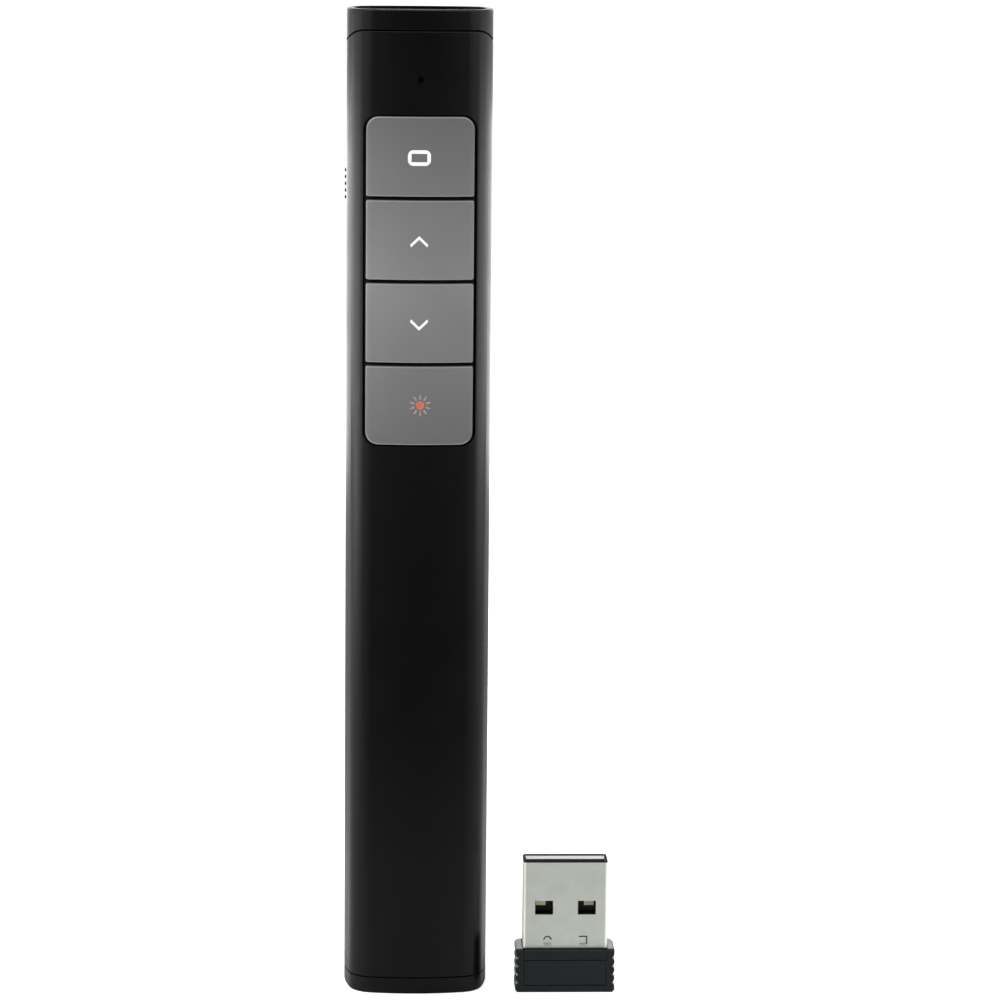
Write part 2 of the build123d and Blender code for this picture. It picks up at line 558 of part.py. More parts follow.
# ---------------------------------------------------------------- rear housing
with BuildPart() as rear_housing:
    extrude(grip_section(0, TAIL_HEIGHT), amount=BODY_HEIGHT - TAIL_HEIGHT)
    nose_rim = rear_housing.faces().sort_by(Axis.Z)[-1].edges()
    fillet(nose_rim, NOSE_RIM_BREAK)
    for floor_z, ceiling_z in [
        (TAIL_HEIGHT, DOCK_FLANGE_Z - SLIDE_FIT - DOCK_RIB_THICKNESS),
        (DOCK_FLANGE_Z - SLIDE_FIT, DOCK_FLANGE_Z + DOCK_FLANGE_THICKNESS + SLIDE_FIT),
        (DOCK_FLANGE_Z + DOCK_FLANGE_THICKNESS + SLIDE_FIT + DOCK_RIB_THICKNESS, LOWER_WALL_Z),
        (BAY_BOTTOM, BAY_TOP),
        (UPPER_WALL_TOP, COVER_TOP),
    ]:
        extrude(grip_section(WALL, floor_z), amount=ceiling_z - floor_z, mode=Mode.SUBTRACT)
    extrude(cover_outline(PARTING_Y + FIT, SEAM), amount=BODY_DEPTH, mode=Mode.SUBTRACT)

    # sleeve passage through the ribs that grip the dock's flange
    with Locations((0, 0, TAIL_HEIGHT)):
        Box(
            SLEEVE_WIDTH + 2 * FIT,
            SLEEVE_DEPTH + 2 * FIT,
            LOWER_WALL_Z - TAIL_HEIGHT,
            align=STANDING,
            mode=Mode.SUBTRACT,
        )

    # end walls of the battery bay reach forward into the front cover
    for wall_z in (LOWER_WALL_Z, BAY_TOP):
        with BuildSketch(Plane.XY.offset(wall_z)) as bay_wall:
            add(grip_section(WALL + SEAM, wall_z))
            with Locations((0, BAY_WALL_FRONT_Y)):
                Rectangle(BODY_WIDTH, BODY_DEPTH, align=TOWARDS_MIN, mode=Mode.SUBTRACT)
            with Locations((0, PARTING_Y + WALL)):
                Rectangle(BODY_WIDTH, BODY_DEPTH, align=TOWARDS_MAX, mode=Mode.SUBTRACT)
        extrude(amount=BAY_WALL)

    # battery door: the opening, and the ledges that the door rests on
    door_hole = rounded_panel(
        PARTING_Y + WALL,
        DOOR_WIDTH + 2 * DOOR_GAP,
        DOOR_BOTTOM - DOOR_GAP,
        DOOR_TOP + DOOR_GAP,
        DOOR_CORNER + DOOR_GAP,
    )
    extrude(door_hole, amount=-BODY_DEPTH, mode=Mode.SUBTRACT)
    with BuildSketch(Plane.XY.offset(LOWER_WALL_Z)) as ledges:
        add(grip_section(WALL - SLIDE_FIT / 2, LOWER_WALL_Z))
        add(grip_section(WALL + LEDGE_THICKNESS, LOWER_WALL_Z), mode=Mode.SUBTRACT)
        Rectangle(DOOR_WIDTH - 2 * LEDGE_WIDTH, BODY_DEPTH, mode=Mode.SUBTRACT)
        Rectangle(BODY_WIDTH, 2 * LEDGE_FRONT_Y, mode=Mode.SUBTRACT)
        with Locations((0, PARTING_Y)):
            Rectangle(BODY_WIDTH, BODY_DEPTH, align=TOWARDS_MIN, mode=Mode.SUBTRACT)
    extrude(amount=UPPER_WALL_TOP - LOWER_WALL_Z)
    for wall_z in (LOWER_WALL_Z, BAY_TOP):
        with BuildSketch(Plane.XY.offset(wall_z)) as end_ledge:
            add(grip_section(WALL, wall_z))
            with Locations((0, PARTING_Y + FIT)):
                Rectangle(BODY_WIDTH, BODY_DEPTH, align=TOWARDS_MIN, mode=Mode.SUBTRACT)
        extrude(amount=BAY_WALL)

    # notches for the door's toes and the battery lead
    for toe_x in (-TOE_X, TOE_X):
        with Locations((toe_x, BACK_Y - WALL + FIT, DOOR_BOTTOM + FIT)):
            Box(
                TOE_WIDTH + 4 * FIT,
                TOE_THICKNESS + TOE_SWING,
                BAY_BOTTOM - LOWER_WALL_Z,
                align=AHEAD_STANDING,
                mode=Mode.SUBTRACT,
            )
            Box(
                TOE_WIDTH + 4 * FIT,
                TOE_THICKNESS + TOE_SWING,
                TOE_REACH + TOE_SWING,
                align=AHEAD_HANGING,
                mode=Mode.SUBTRACT,
            )
    with Locations((LEAD_X, LEAD_Y, BAY_TOP - FIT)):
        Cylinder(2 * LEAD_RADIUS, BAY_WALL + 2 * FIT, align=STANDING, mode=Mode.SUBTRACT)

    # case screw: boss down to the board, with a sunk head
    boss_end = BACK_Y - WALL / 2 - BOARD_BACK_Y
    add(rod(0, BOARD_BACK_Y, CASE_SCREW_Z, REAR_BOSS_RADIUS, boss_end, TOWARDS_BACK))
    add(
        rod(0, BOARD_BACK_Y - FIT, CASE_SCREW_Z, CASE_SCREW_RADIUS + FIT, BODY_DEPTH, TOWARDS_BACK),
        mode=Mode.SUBTRACT,
    )
    add(
        rod(0, CASE_HEAD_SEAT_Y, CASE_SCREW_Z, CASE_HEAD_RADIUS + FIT, BODY_DEPTH, TOWARDS_BACK),
        mode=Mode.SUBTRACT,
    )

    # saddle for the laser module, and its hole through the nose
    with Locations((0, LASER_Y, LASER_BOTTOM + SADDLE_RISE)):
        Box(SADDLE_WIDTH, BACK_Y - WALL / 2 - LASER_Y, SADDLE_THICKNESS, align=BEHIND_STANDING)
    with Locations((0, LASER_Y, LASER_BOTTOM)):
        Cylinder(LASER_RADIUS + SLIDE_FIT, BODY_HEIGHT, align=STANDING, mode=Mode.SUBTRACT)

    # recess for the nose plate, and the slot for the cover's hook
    extrude(grip_section(NOSE_LIP, NOSE_FLOOR), amount=BODY_HEIGHT - NOSE_FLOOR, mode=Mode.SUBTRACT)
    with Locations((0, NOSE_HOOK_Y + FIT, COVER_TOP + TONGUE_REACH + FIT)):
        Box(
            TONGUE_WIDTH + 2 * FIT,
            TONGUE_THICKNESS + 2 * FIT,
            TONGUE_HEIGHT,
            align=HANGING,
            mode=Mode.SUBTRACT,
        )

    # track and slot of the power slider
    with Locations((-TRACK_FLOOR_X, KNOB_Y, KNOB_Z + KNOB_TRAVEL / 2)):
        Box(
            BODY_WIDTH,
            KNOB_WIDTH + 2 * TRACK_MARGIN,
            KNOB_LENGTH + KNOB_TRAVEL + 2 * TRACK_MARGIN,
            align=(Align.MAX, Align.CENTER, Align.CENTER),
            mode=Mode.SUBTRACT,
        )
    with Locations((-CATCH_X, KNOB_Y, KNOB_Z + KNOB_TRAVEL / 2)):
        Box(
            BODY_WIDTH,
            STEM_WIDTH + 2 * FIT,
            STEM_LENGTH + KNOB_TRAVEL + 2 * FIT,
            align=(Align.MAX, Align.CENTER, Align.CENTER),
            mode=Mode.SUBTRACT,
        )
save(rear_housing, "rear_housing")

# ---------------------------------------------------------------- tail dock
with BuildPart() as tail_dock:
    extrude(grip_section(0, 0), amount=TAIL_HEIGHT - SEAM)
    fillet(tail_dock.faces().sort_by(Axis.Z)[0].edges(), FOOT_BREAK)
    extrude(grip_section(WALL + FIT, TAIL_HEIGHT - SEAM), amount=DOCK_SPIGOT)
    # sleeve for the receiver, inside the skin of the shells
    with BuildSketch(Plane.XY.offset(TAIL_HEIGHT - SEAM)) as sleeve:
        add(grip_section(WALL + FIT, TAIL_HEIGHT - SEAM))
        Rectangle(SLEEVE_WIDTH, SLEEVE_DEPTH, mode=Mode.INTERSECT)
    extrude(amount=DOCK_TOP - TAIL_HEIGHT + SEAM)
    extrude(grip_section(WALL + FIT, DOCK_FLANGE_Z), amount=DOCK_FLANGE_THICKNESS)
    with BuildSketch(Plane.XY) as mouth:
        RectangleRounded(MOUTH_WIDTH, MOUTH_DEPTH, DOCK_MOUTH_CORNER)
    extrude(amount=DOCK_LEDGE_Z, mode=Mode.SUBTRACT)
    mouth_edges = tail_dock.faces().sort_by(Axis.Z)[0].inner_wires()[0].edges()
    chamfer(mouth_edges, DOCK_LEAD_IN)
    with Locations((0, 0, DOCK_LEDGE_Z)):
        Box(SOCKET_WIDTH, SOCKET_DEPTH, DOCK_END_Z - DOCK_LEDGE_Z, align=STANDING, mode=Mode.SUBTRACT)
    with Locations((0, 0, MAGNET_Z)):
        Cylinder(MAGNET_RADIUS + SLIDE_FIT, MAGNET_THICKNESS, align=STANDING, mode=Mode.SUBTRACT)
save(tail_dock, "tail_dock")

with BuildPart() as dock_magnet:
    with Locations((0, 0, MAGNET_Z)):
        Cylinder(MAGNET_RADIUS, MAGNET_THICKNESS, align=STANDING)
    chamfer(dock_magnet.edges().filter_by(GeomType.CIRCLE), EDGE_BREAK)
save(dock_magnet, "dock_magnet")

# ---------------------------------------------------------------- nose plate
with BuildPart() as nose_plate:
    extrude(grip_section(NOSE_LIP + NOSE_PLATE_GAP, NOSE_FLOOR), amount=NOSE_PLATE_THICKNESS)
    fillet(nose_plate.faces().sort_by(Axis.Z)[-1].edges(), EDGE_BREAK)
    with Locations((0, LASER_Y, NOSE_FLOOR)):
        Cylinder(APERTURE_RADIUS, NOSE_PLATE_THICKNESS, align=STANDING, mode=Mode.SUBTRACT)
    aperture_rim = nose_plate.faces().sort_by(Axis.Z)[-1].inner_wires()[0].edges()
    chamfer(aperture_rim, APERTURE_BEVEL)
save(nose_plate, "nose_plate")

# ---------------------------------------------------------------- battery door
with BuildPart() as battery_door:
    extrude(grip_section(0, DOOR_BOTTOM), amount=DOOR_TOP - DOOR_BOTTOM)
    inner_skin = grip_section(WALL - SLIDE_FIT, DOOR_BOTTOM)
    extrude(inner_skin, amount=DOOR_TOP - DOOR_BOTTOM, mode=Mode.SUBTRACT)
    door_panel = rounded_panel(PARTING_Y + WALL, DOOR_WIDTH, DOOR_BOTTOM, DOOR_TOP, DOOR_CORNER)
    extrude(door_panel, amount=-BODY_DEPTH, mode=Mode.INTERSECT)
    for toe_x in (-TOE_X, TOE_X):
        with Locations((toe_x, TOE_BACK_Y, DOOR_BOTTOM - TOE_REACH)):
            Box(TOE_WIDTH, TOE_THICKNESS, TOE_REACH + TOE_ROOT, align=AHEAD_STANDING)
        with Locations((toe_x, TOE_BACK_Y, DOOR_BOTTOM)):
            Box(TOE_WIDTH, TOE_THICKNESS, TOE_ROOT, align=STANDING)
    for index in range(GRIP_GROOVES):
        groove_z = DOOR_TOP - GRIP_DROP - index * GRIP_PITCH
        groove_length = GRIP_LENGTH - index * GRIP_STEP
        with BuildSketch(front_plane(BACK_Y - GRIP_DEPTH)) as groove:
            with Locations((0, groove_z)):
                SlotOverall(groove_length, GRIP_WIDTH)
        extrude(amount=-BODY_DEPTH, mode=Mode.SUBTRACT)
save(battery_door, "battery_door")

# ---------------------------------------------------------------- keys and their switches
def keycap(middle_z, upper_corner, lower_corner):
    """One key: crowned cap, two snap legs that pass the key frame, and a push post."""
    bottom = middle_z - KEY_HEIGHT / 2
    with BuildPart() as cap:
        extrude(grip_section(-KEY_PROUD, bottom), amount=KEY_HEIGHT)
        with Locations((0, KEY_BACK_Y, middle_z)):
            Box(KEY_WIDTH, BODY_DEPTH, KEY_HEIGHT, align=AHEAD, mode=Mode.INTERSECT)
        fillet(cap.edges().filter_by(Axis.Y).group_by(Axis.Z)[-1], upper_corner)
        fillet(cap.edges().filter_by(Axis.Y).group_by(Axis.Z)[0], lower_corner)
        face_y = KEY_BACK_Y - KEY_THICKNESS / 4
        crowned_face = cap.edges().filter_by(lambda edge: edge.center().Y < face_y)
        side_x = KEY_WIDTH / 2 - FIT
        rim = crowned_face.filter_by(Axis.Y, reverse=True).filter_by(
            lambda edge: edge.tangent_at(0.5).Z ** 2 < 0.9 or abs(edge.center().X) > side_x
        )
        fillet(rim, KEY_EDGE_BREAK)
        post_length = PLUNGER_FRONT_Y - KEY_BACK_Y
        add(rod(0, KEY_BACK_Y, middle_z, POST_RADIUS, post_length, TOWARDS_BACK))
        for side in (-1, 1):
            with Locations((side * LEG_X, KEY_BACK_Y, middle_z)):
                Box(LEG_WIDTH, LEG_LENGTH, LEG_HEIGHT, align=BEHIND)
            with Locations((side * (LEG_X - LEG_WIDTH / 2), KEY_BACK_Y + LEG_LENGTH, middle_z)):
                barb_align = (Align.MIN if side > 0 else Align.MAX, Align.MAX, Align.CENTER)
                Box(LEG_WIDTH + BARB_REACH, BARB_LENGTH, LEG_HEIGHT, align=barb_align)
    return cap


for index, name in enumerate(KEY_NAMES):
    middle = KEY_BOTTOM_Z + KEY_HEIGHT / 2 + index * KEY_PITCH
    upper = KEY_OUTER_CORNER if index == len(KEY_NAMES) - 1 else KEY_INNER_CORNER
    lower = KEY_OUTER_CORNER if index == 0 else KEY_INNER_CORNER
    save(keycap(middle, upper, lower), f"{name}_key")

    with BuildPart() as tact_switch:
        with Locations((0, SWITCH_FRONT_Y, middle)):
            Box(SWITCH_SIZE, SWITCH_DEPTH, SWITCH_SIZE, align=BEHIND)
        chamfer(tact_switch.edges().filter_by(Axis.Y), SWITCH_FOOT / 2)
        with Locations(*[(x, BOARD_FRONT_Y, middle + z) for x, z in SWITCH_FEET]):
            Box(SWITCH_FOOT, SWITCH_FOOT / 2, SWITCH_FOOT, align=AHEAD)
        well = rod(0, SWITCH_FRONT_Y, middle, PLUNGER_RADIUS + SLIDE_FIT, PLUNGER_WELL, TOWARDS_BACK)
        add(well, mode=Mode.SUBTRACT)
    save(tact_switch, f"tact_switch_{name}")

    with BuildPart() as plunger:
        add(rod(0, PLUNGER_FRONT_Y, middle, PLUNGER_RADIUS, PLUNGER_LENGTH, TOWARDS_BACK))
    save(plunger, f"switch_plunger_{name}")

# ---------------------------------------------------------------- key frame
with BuildPart() as key_frame:
    with BuildSketch(front_plane(FRAME_BACK_Y)) as frame_plate:
        with Locations((0, KEYS_MIDDLE_Z)):
            RectangleRounded(FRAME_WIDTH, FRAME_HEIGHT, BOARD_CORNER)
        for index in range(len(KEY_NAMES)):
            with Locations((0, KEY_BOTTOM_Z + KEY_HEIGHT / 2 + index * KEY_PITCH)):
                Circle(POST_RADIUS + 2 * FIT, mode=Mode.SUBTRACT)
                with Locations((-LEG_X, 0), (LEG_X, 0)):
                    Rectangle(LEG_WIDTH + 2 * FIT, LEG_HEIGHT + 2 * FIT, mode=Mode.SUBTRACT)
        with Locations(*PEG_POINTS):
            Circle(PEG_RADIUS + SLIDE_FIT, mode=Mode.SUBTRACT)
        with Locations((0, CASE_SCREW_Z)):
            Circle(BOSS_RADIUS + 2 * FIT, mode=Mode.SUBTRACT)
    extrude(amount=FRAME_THICKNESS)
save(key_frame, "key_frame")

# ---------------------------------------------------------------- main board and what it carries
with BuildPart() as main_board:
    with BuildSketch(front_plane(BOARD_BACK_Y)) as board_plate:
        with Locations((0, (BOARD_BOTTOM + BOARD_TOP) / 2)):
            RectangleRounded(BOARD_WIDTH, BOARD_LENGTH, BOARD_CORNER)
        with Locations((0, CASE_SCREW_Z)):
            Circle(BOSS_SPIGOT_RADIUS + SLIDE_FIT, mode=Mode.SUBTRACT)
        with Locations(*BOARD_SCREW_POINTS):
            Circle(BOARD_SCREW_RADIUS + SLIDE_FIT, mode=Mode.SUBTRACT)
    extrude(amount=BOARD_THICKNESS)
save(main_board, "main_board")


def chip(x, place, width, height, depth, corner=0.0):
    """Rectangular component on the back of the board, at that share of its length from the top."""
    with BuildPart() as body:
        with Locations((x, BOARD_BACK_Y, BOARD_TOP - place * BOARD_LENGTH)):
            Box(width, depth, height, align=BEHIND)
        if corner:
            fillet(body.edges().filter_by(Axis.Y), corner)
            chamfer(body.faces().sort_by(Axis.Y)[-1].edges(), EDGE_BREAK)
    return body


radio_chip = chip(0, RADIO_CHIP_PLACE, RADIO_CHIP_SIZE, RADIO_CHIP_SIZE, RADIO_CHIP_HEIGHT)
save(radio_chip, "radio_chip")
crystal_can = chip(
    CRYSTAL_X,
    RADIO_CHIP_PLACE,
    CRYSTAL_WIDTH,
    CRYSTAL_LENGTH,
    CRYSTAL_HEIGHT,
    CRYSTAL_CORNER,
)
save(crystal_can, "crystal_can")
boost_inductor = chip(0, INDUCTOR_PLACE, INDUCTOR_SIZE, INDUCTOR_SIZE, INDUCTOR_HEIGHT, INDUCTOR_CORNER)
save(boost_inductor, "boost_inductor")

with BuildPart() as chip_parts:
    first_z = BOARD_BOTTOM + CHIP_PART_RISE
    with Locations(
        *[
            (CHIP_PART_X + column * CHIP_PART_PITCH, BOARD_BACK_Y, first_z + row * CHIP_PART_PITCH)
            for column in range(CHIP_PART_COLUMNS)
            for row in range(CHIP_PART_ROWS)
        ]
    ):
        Box(CHIP_PART_WIDTH, CHIP_PART_HEIGHT, CHIP_PART_LENGTH, align=BEHIND)
save(chip_parts, "chip_parts")

with BuildPart() as smoothing_capacitor:
    can_z = BOARD_BOTTOM + CAPACITOR_RISE
    with Locations((CAPACITOR_X, BOARD_BACK_Y, can_z)):
        Box(
            2 * CAPACITOR_RADIUS + 2 * FIT,
            CHIP_PART_HEIGHT,
            2 * CAPACITOR_RADIUS + 2 * FIT,
            align=BEHIND,
        )
    add(rod(CAPACITOR_X, BOARD_BACK_Y, can_z, CAPACITOR_RADIUS, CAPACITOR_HEIGHT, TOWARDS_BACK))
    fillet(smoothing_capacitor.faces().sort_by(Axis.Y)[-1].edges(), 2 * EDGE_BREAK)
save(smoothing_capacitor, "smoothing_capacitor")

with BuildPart() as status_led:
    add(rod(0, BOARD_FRONT_Y, LED_Z, LED_FLANGE_RADIUS, LED_FLANGE_HEIGHT, TOWARDS_FRONT))
    add(rod(0, BOARD_FRONT_Y, LED_Z, LED_RADIUS, LED_HEIGHT, TOWARDS_FRONT))
    fillet(status_led.faces().sort_by(Axis.Y)[0].edges(), LED_DOME_RADIUS)
save(status_led, "status_led")

with BuildPart() as light_pipe:
    pipe_back = BOARD_FRONT_Y - LED_HEIGHT - PIPE_LED_GAP
    pipe_front = FRONT_Y + WALL
    add(rod(0, pipe_back, LED_Z, PIPE_RADIUS, pipe_back - pipe_front, TOWARDS_FRONT))
    add(rod(0, pipe_front, LED_Z, PIPE_TIP_RADIUS, WALL - PIPE_TIP_RECESS, TOWARDS_FRONT))
save(light_pipe, "light_pipe")


def cross_head_screw(points, seat_y, head_radius, head_height, shank_radius, shank_length):
    """Pan-head screws driven from the back, one solid at each (x, z) point."""
    with BuildPart() as screws:
        for x, z in points:
            add(rod(x, seat_y, z, head_radius, head_height, TOWARDS_BACK))
            add(rod(x, seat_y, z, shank_radius, shank_length, TOWARDS_FRONT))
        heads = screws.faces().filter_by(GeomType.PLANE).filter_by(Axis.Y).group_by(Axis.Y)[-1]
        fillet(heads.edges(), head_height / 3)
        for x, z in points:
            with Locations((x, seat_y + head_height, z)):
                Box(2 * head_radius * CROSS_SHARE, 2 * CROSS_DEPTH, CROSS_WIDTH, mode=Mode.SUBTRACT)
                Box(CROSS_WIDTH, 2 * CROSS_DEPTH, 2 * head_radius * CROSS_SHARE, mode=Mode.SUBTRACT)
    return screws


save(
    cross_head_screw(
        [(0, CASE_SCREW_Z)],
        CASE_HEAD_SEAT_Y,
        CASE_HEAD_RADIUS,
        CASE_HEAD_HEIGHT,
        CASE_SCREW_RADIUS - SLIDE_FIT,
        CASE_SCREW_LENGTH,
    ),
    "case_screw",
)
save(
    cross_head_screw(
        BOARD_SCREW_POINTS,
        BOARD_BACK_Y,
        BOARD_HEAD_RADIUS,
        BOARD_HEAD_HEIGHT,
        BOARD_SCREW_RADIUS - SLIDE_FIT,
        BOARD_SCREW_LENGTH,
    ),
    "board_screws",
)

# ---------------------------------------------------------------- laser module
with BuildPart() as laser_barrel:
    with Locations((0, LASER_Y, LASER_BOTTOM)):
        Cylinder(LASER_RADIUS, LASER_LENGTH, align=STANDING)
    chamfer(laser_barrel.edges().filter_by(GeomType.CIRCLE), EDGE_BREAK)
    with Locations((0, LASER_Y, LASER_TOP)):
        Cylinder(LASER_BORE_RADIUS, LASER_BORE_DEPTH, align=HANGING, mode=Mode.SUBTRACT)
save(laser_barrel, "laser_barrel")

with BuildPart() as laser_lens:
    lens_back = LASER_TOP - LASER_BORE_DEPTH
    with Locations((0, LASER_Y, lens_back)):
        Cylinder(LASER_BORE_RADIUS - SLIDE_FIT, LENS_THICKNESS, align=STANDING)
    with Locations((0, LASER_Y, lens_back + LENS_THICKNESS - LENS_CROWN_RADIUS)):
        Sphere(LENS_CROWN_RADIUS, mode=Mode.INTERSECT)
save(laser_lens, "laser_lens")

with BuildPart() as laser_driver:
    with Locations((0, LASER_Y, LASER_BOTTOM)):
        Cylinder(DRIVER_RADIUS, DRIVER_THICKNESS, align=HANGING)
save(laser_driver, "laser_driver")

with BuildPart() as laser_leads:
    for lead_x in (-LASER_LEAD_X, LASER_LEAD_X):
        lead_top = LASER_BOTTOM - DRIVER_THICKNESS
        route = [
            (lead_x, LASER_Y, lead_top),
            (lead_x, LASER_Y, lead_top - LASER_LEAD_DROP),
            (lead_x, BOARD_BACK_Y, lead_top - LASER_LEAD_DROP),
        ]
        with BuildLine() as lead_path:
            FilletPolyline(*route, radius=LASER_LEAD_BEND)
        with BuildSketch(Plane(origin=route[0], z_dir=(0, 0, -1))):
            Circle(LEAD_RADIUS)
        sweep(path=lead_path.wires()[0])
save(laser_leads, "laser_leads")

# ---------------------------------------------------------------- power slider
with BuildPart() as power_knob:
    with Locations((-TRACK_FLOOR_X - SLIDE_FIT, KNOB_Y, KNOB_Z)):
        Box(KNOB_FACE_X - TRACK_FLOOR_X - SLIDE_FIT, KNOB_WIDTH, KNOB_LENGTH, align=OUTWARD_LEFT)
    fillet(power_knob.edges().filter_by(Axis.X), KNOB_CORNER)
    for index in range(KNOB_RIBS):
        rib_z = KNOB_Z + (index - (KNOB_RIBS - 1) / 2) * KNOB_RIB_PITCH
        with Locations((-KNOB_FACE_X + SLIDE_FIT, KNOB_Y, rib_z)):
            Box(KNOB_RIB_HEIGHT + SLIDE_FIT, KNOB_WIDTH - 2 * FIT, KNOB_RIB_WIDTH, align=OUTWARD_LEFT)
    rib_tops = power_knob.edges().filter_by(Axis.Y).group_by(Axis.X)[0]
    fillet(rib_tops, KNOB_RIB_BREAK)
    with Locations((-CATCH_INNER_X - CATCH_THICKNESS, KNOB_Y, KNOB_Z)):
        stem_reach = KNOB_FACE_X - CATCH_INNER_X - CATCH_THICKNESS - SLIDE_FIT
        Box(stem_reach, STEM_WIDTH, STEM_LENGTH, align=OUTWARD_LEFT)
    with Locations((-CATCH_INNER_X, KNOB_Y, KNOB_Z)):
        Box(CATCH_THICKNESS, CATCH_WIDTH, CATCH_LENGTH, align=OUTWARD_LEFT)
        Box(
            2 * LEVER_GRIP,
            LEVER_WIDTH + 2 * SLIDE_FIT,
            LEVER_LENGTH + 2 * SLIDE_FIT,
            mode=Mode.SUBTRACT,
        )
save(power_knob, "power_knob")

with BuildPart() as switch_lever:
    with Locations((-CATCH_INNER_X - LEVER_GRIP + SLIDE_FIT, KNOB_Y, KNOB_Z)):
        Box(LEVER_REACH, LEVER_WIDTH, LEVER_LENGTH, align=(Align.MIN, Align.CENTER, Align.CENTER))
save(switch_lever, "switch_lever")

with BuildPart() as slide_switch:
    with Locations((-SWITCH_BOX_X, BOARD_BACK_Y, KNOB_Z + KNOB_TRAVEL / 2)):
        box_align = (Align.MIN, Align.MIN, Align.CENTER)
        Box(SWITCH_BOX_WIDTH, SWITCH_BOX_HEIGHT, SWITCH_BOX_LENGTH, align=box_align)
    chamfer(slide_switch.faces().sort_by(Axis.Y)[-1].edges(), EDGE_BREAK)
    with Locations((-SWITCH_BOX_X, KNOB_Y, KNOB_Z + KNOB_TRAVEL / 2)):
        Box(
            2 * LEVER_WELL,
            LEVER_WIDTH + 2 * FIT,
            LEVER_LENGTH + KNOB_TRAVEL + 2 * FIT,
            mode=Mode.SUBTRACT,
        )
save(slide_switch, "slide_switch")

# ---------------------------------------------------------------- battery and contacts
with BuildPart() as battery_cell:
    with Locations((0, CELL_Y, CELL_BOTTOM)):
        Cylinder(CELL_RADIUS, CELL_LENGTH - CELL_NUB_HEIGHT, align=STANDING)
    fillet(battery_cell.edges().filter_by(GeomType.CIRCLE), CELL_EDGE)
    with Locations((0, CELL_Y, CELL_TOP)):
        Cylinder(CELL_NUB_RADIUS, 2 * CELL_NUB_HEIGHT, align=HANGING)
    fillet(battery_cell.faces().sort_by(Axis.Z)[-1].edges(), CELL_NUB_HEIGHT / 3)
save(battery_cell, "battery_cell")

with BuildPart() as negative_contact:
    with Locations((0, CELL_Y, BAY_BOTTOM)):
        Box(CONTACT_WIDTH, CONTACT_WIDTH, CONTACT_THICKNESS, align=STANDING)
    with Locations((0, LEAD_Y, BAY_BOTTOM)):
        Box(LEAD_PAD_X, 4 * LEAD_RADIUS, CONTACT_THICKNESS, align=(Align.MAX, Align.CENTER, Align.MIN))
save(negative_contact, "negative_contact")

with BuildPart() as negative_spring:
    half_turns = 2 * SPRING_COILS
    rise = (SPRING_HEIGHT - 2 * SPRING_WIRE_RADIUS) / half_turns
    step_in = (SPRING_BASE_RADIUS - SPRING_TOP_RADIUS) / half_turns
    coil_z = BAY_BOTTOM + CONTACT_THICKNESS + SPRING_WIRE_RADIUS
    with BuildLine() as coil:
        for index in range(half_turns):
            # each half turn starts where the one below ends, a step higher and further in
            side = 1 if index % 2 == 0 else -1
            radius = SPRING_BASE_RADIUS - index * step_in
            start_z = coil_z + index * rise
            middle_x = side * step_in / 2
            half_width = ((radius - step_in / 2) ** 2 + (rise / 2) ** 2) ** 0.5
            ThreePointArc(
                (side * radius, CELL_Y, start_z),
                (middle_x, CELL_Y + side * half_width, start_z + rise / 2),
                (side * (step_in - radius), CELL_Y, start_z + rise),
            )
    with BuildSketch(Plane(origin=coil.line @ 0, z_dir=coil.line % 0)):
        Circle(SPRING_WIRE_RADIUS)
    sweep(path=coil.line)
save(negative_spring, "negative_spring")

with BuildPart() as positive_contact:
    plate_z = BAY_TOP - CONTACT_THICKNESS
    with Locations((0, CELL_Y, plate_z)):
        Box(CONTACT_WIDTH, CONTACT_WIDTH, CONTACT_THICKNESS, align=STANDING)
    with Locations((CONTACT_TAB_X, BOARD_FRONT_Y - CONTACT_THICKNESS, plate_z)):
        Box(CONTACT_TAB_WIDTH, CELL_Y - BOARD_FRONT_Y, CONTACT_THICKNESS, align=BEHIND_STANDING)
        Box(CONTACT_TAB_WIDTH, CONTACT_THICKNESS, CONTACT_TAB_HEIGHT, align=BEHIND_STANDING)
save(positive_contact, "positive_contact")

with BuildPart() as battery_lead:
    lead_start = BAY_BOTTOM + CONTACT_THICKNESS
    lead_end = BOARD_BOTTOM + 2 * LEAD_BEND
    route = [(LEAD_X, LEAD_Y, lead_start), (LEAD_X, LEAD_Y, lead_end), (LEAD_X, BOARD_BACK_Y, lead_end)]
    with BuildLine() as lead_path:
        FilletPolyline(*route, radius=LEAD_BEND)
    with BuildSketch(Plane(origin=route[0], z_dir=(0, 0, 1))):
        Circle(LEAD_RADIUS)
    sweep(path=lead_path.wires()[0])
save(battery_lead, "battery_lead")

